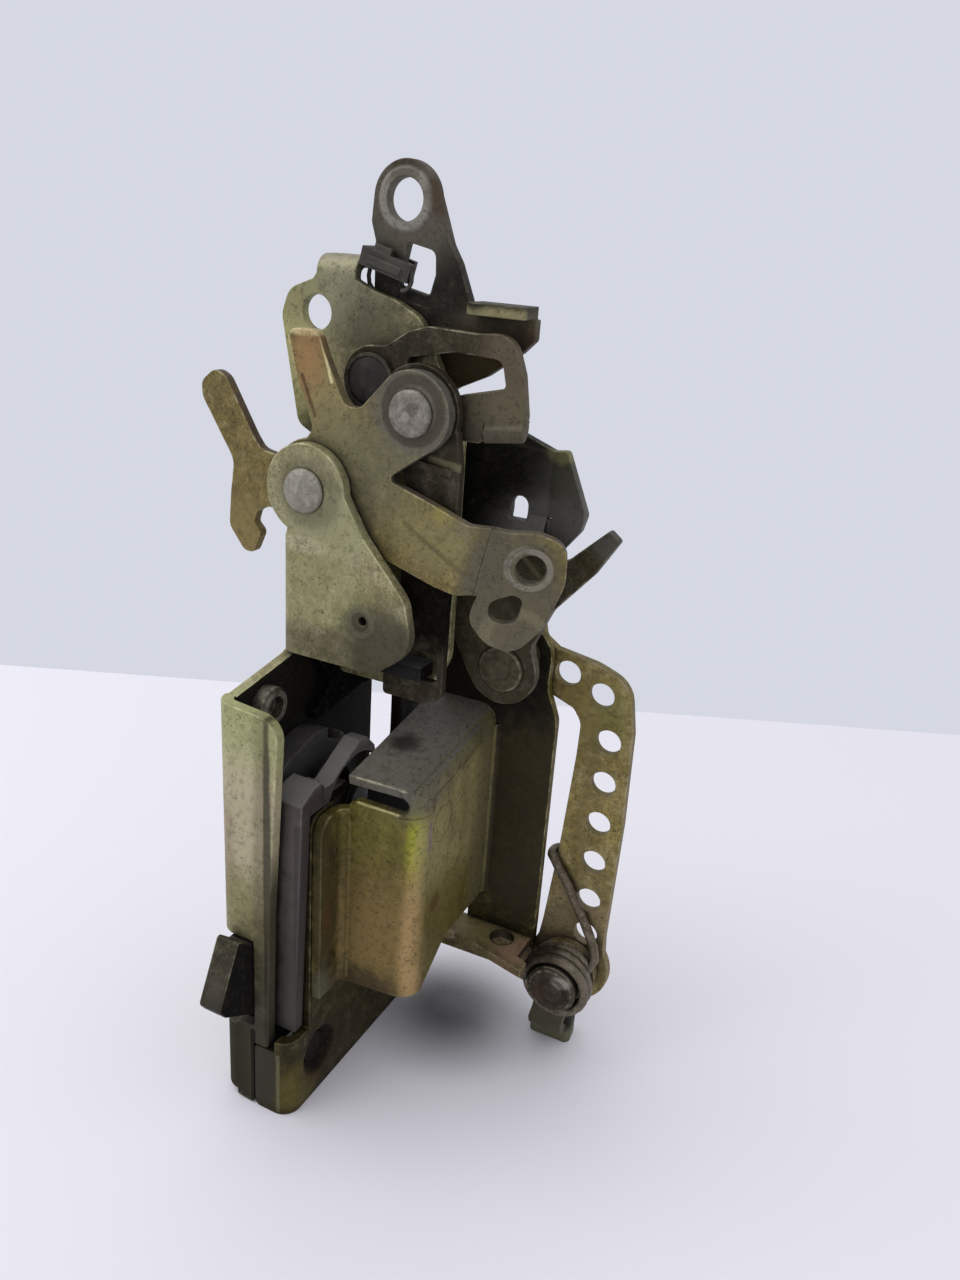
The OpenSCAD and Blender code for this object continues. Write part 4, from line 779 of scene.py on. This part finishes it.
armStud = {**rivetSteel, "tints": [(58, 52, 42), (48, 42, 33), (74, 67, 55)], "rough": (0.5, 0.7),
           "shine": 0.25, "seed": 19,
           "marks": [
               spot((62.4, 29, 16.4), (2.2, 3, 1.4), (164, 158, 146), 0.75),
               spot((60.6, 29, 13.4), (3.0, 9, 3.0), (36, 28, 20), 0.6, ragged=0.3, ring=0.4, dent=0.25),
               spot((57.6, 29, 12), (1.6, 3, 2.4), (84, 58, 38), 0.25),
           ]}
finish("arm_stud", platedSteel, armStud)
catchStud = {**rivetSteel, "tints": [(84, 80, 70), (72, 68, 58), (100, 96, 86)], "seed": 20,
             # painted shade: its end, seen through the slot, is near black
             "marks": [spot((19, 10, 58), (3, 9, 9), (20, 19, 18), 0.95, soft=0.3)]}
finish("catch_stud", platedSteel, catchStud)
pawlStud = {**rivetSteel, "tints": [(60, 57, 50), (50, 47, 41), (76, 72, 64)], "seed": 21}
finish("pawl_stud", platedSteel, pawlStud)
springPost = {**rivetSteel, "tints": [(84, 81, 73), (70, 67, 59), (102, 98, 88)], "seed": 22}
finish("spring_post", platedSteel, springPost)
fixingRivets = {**rivetSteel, "tints": [(66, 59, 35), (58, 51, 30), (84, 76, 50)], "metal": 0.35, "rim": 0.1,
                "grime": 0, "specks": 0.3, "seed": 23}
flushHeads = {"plate": 20.21, "behind": 4, "low": 20, "high": 56}  # millimetres


def setFlush(work, h=flushHeads):  # the two heads beside the stop block are level with their plate
    for vert in work.verts:
        x, y, z = (1000 * a for a in vert.co)
        if x > h["plate"] and y < h["behind"] and h["low"] < z < h["high"]:
            vert.co.x = h["plate"] / 1000


finish("fixing_rivets", platedSteel, fixingRivets, reshape=setFlush)
spacerDisc = {**plating, "tints": [(50, 47, 40), (42, 39, 33), (66, 62, 54)], "seed": 24}
finish("spacer_disc", platedSteel, spacerDisc)

# springs are drawn wire, so only their shading is smoothed
wire = {**plating, "tints": [(110, 101, 86), (94, 84, 69), (130, 121, 105)], "cloud": 6, "metal": 0.5,
        "rough": (0.36, 0.56), "filmTint": (74, 62, 46), "film": 0.5}
torsionSpring = {**wire, "seed": 25,
                 "marks": [
                     # dirt and painted shade on the upper left of the coil
                     spot((56.4, 30, 20), (5, 6, 6), (38, 27, 18), 0.8),
                     spot((66, 32, 18), (6, 6, 7), (120, 112, 98), 0.5),
                 ]}
finish("torsion_spring", platedSteel, torsionSpring, 0)
catchSpring = {**wire, "tints": [(60, 58, 54), (48, 46, 42), (76, 74, 70)], "seed": 26}
finish("catch_spring", platedSteel, catchSpring, 0)
pawlSpring = {**catchSpring, "seed": 27}
finish("pawl_spring", platedSteel, pawlSpring, 0)

rodClip = {"tints": [(62, 59, 53), (50, 47, 42)], "cloud": 5, "dust": 0.5, "dustTint": (74, 68, 56),
           "scrapes": 0.4, "scrapeTint": (92, 88, 78), "rim": 0.6, "rimTint": (88, 84, 74),
           "rough": (0.5, 0.75), "texture": 0.02, "grime": 0.7, "grimeTint": (16, 15, 13), "shine": 0.3,
           "marks": []}
finish("rod_clip", mouldedBlack, rodClip, 0.15)

rubberBumper = {**rodClip, "tints": [(54, 52, 50), (42, 40, 40)], "dustTint": (76, 72, 64),
                "rough": (0.75, 0.95), "texture": 0.12, "rimTint": (72, 69, 60), "shine": 0.15}
finish("rubber_bumper", mouldedBlack, rubberBumper, 0.2)

# pale table whose far edge shows against the pale wall, and soft light from the upper left
studio = {"tableTop": -0.011, "edgeAway": 0.393, "halfWidth": 3, "depth": 4, "tableTint": (216, 215, 223),
          "contact": (31, 39), "contactBand": (29, 4), "contactReach": 0.06, "closeBand": (1, 0.6),
          "contactSamples": 32, "contactShade": 0.9, "shadeTint": (30, 31, 26), "tableRough": 0.7,
          "tableShine": 0.2, "wallTint": (213, 216, 226),
          "riseBand": (-0.1, 0.95), "fill": (0.57, 1.12), "fillTint": (0.98, 0.98, 1, 1)}
keyLamp = {"power": 4.1, "size": 0.7, "azimuth": -62, "elevation": 52, "away": 1.0,
           "aim": (0.025, 0.012, 0.085)}


def softLamp(name, v):
    middle = Vector(v["aim"])
    turn, rise = radians(v["azimuth"]), radians(v["elevation"])
    data = bpy.data.lights.new(name, "AREA")
    data.energy = v["power"]
    data.size = v["size"]
    lamp = bpy.data.objects.new(name, data)
    lamp.location = middle + v["away"] * Vector((sin(turn) * cos(rise), -cos(turn) * cos(rise), sin(rise)))
    lamp.rotation_euler = (middle - lamp.location).to_track_quat("-Z", "Y").to_euler()
    bpy.context.scene.collection.objects.link(lamp)


def layTable(s):
    turn = radians(camera["azimuth"])
    onward = Vector((-sin(turn), cos(turn), 0))
    sideways = Vector((cos(turn), sin(turn), 0)) * s["halfWidth"]
    start = Vector(camera["place"])
    start.z = s["tableTop"]
    farEdge = start + onward * s["edgeAway"]
    nearEdge = farEdge - onward * s["depth"]
    corners = [farEdge - sideways, farEdge + sideways, nearEdge + sideways, nearEdge - sideways]
    mesh = bpy.data.meshes.new("table")
    mesh.from_pydata([tuple(c) for c in corners], [], [(0, 1, 2, 3)])
    table = bpy.data.objects.new("table", mesh)
    bpy.context.scene.collection.objects.link(table)
    material, put = newMaterial("paleTable")
    # painted shadow: darker where the lock stands close over the table
    x, y = s["contact"]
    at = stretched(put, put("TexCoord").outputs["Object"], (1000,) * 3, (-x, -y, -1000 * s["tableTop"]))
    away = put("VectorMath", {0: at}, operation="LENGTH").outputs[1]
    close = put("AmbientOcclusion", {"Distance": s["contactReach"]}, samples=s["contactSamples"])
    close = gate(put, close.outputs["AO"], *s["closeBand"], 0, s["contactShade"])
    shade = times(put, close, gate(put, away, *s["contactBand"]))
    colour = coat(put, shade, paint(s["tableTint"]), paint(s["shadeTint"]))
    shader = put("BsdfPrincipled", {"Base Color": colour, "Roughness": s["tableRough"],
                                    "Specular IOR Level": s["tableShine"]})
    put("OutputMaterial", {"Surface": shader.outputs[0]})
    mesh.materials.append(material)


def lightRoom(s):  # the camera sees the wall's colour, and the lock gets more light from above
    world = bpy.data.worlds.new("studio")
    world.use_nodes = True
    world.node_tree.nodes.clear()
    put = nodePutter(world.node_tree)
    path = put("LightPath").outputs
    seen = put("Math", {0: path["Is Camera Ray"], 1: path["Is Glossy Ray"]}, operation="MAXIMUM")
    seen = put("Math", {0: seen.outputs[0], 1: path["Is Transmission Ray"]}, operation="MAXIMUM")
    direction = put("TexCoord").outputs["Generated"]
    rise = put("SeparateXYZ", {0: direction}).outputs["Z"]
    fill = gate(put, rise, *s["riseBand"], *s["fill"])
    light = put("Background", {"Color": s["fillTint"], "Strength": fill})
    wall = put("Background", {"Color": paint(s["wallTint"]), "Strength": 1})
    both = put("MixShader", {0: seen.outputs[0], 1: light.outputs[0], 2: wall.outputs[0]})
    put("OutputWorld", {"Surface": both.outputs[0]})
    bpy.context.scene.world = world


layTable(studio)
lightRoom(studio)
softLamp("keyLight", keyLamp)
bpy.context.scene.view_settings.view_transform = "Standard"
print("studio lit")
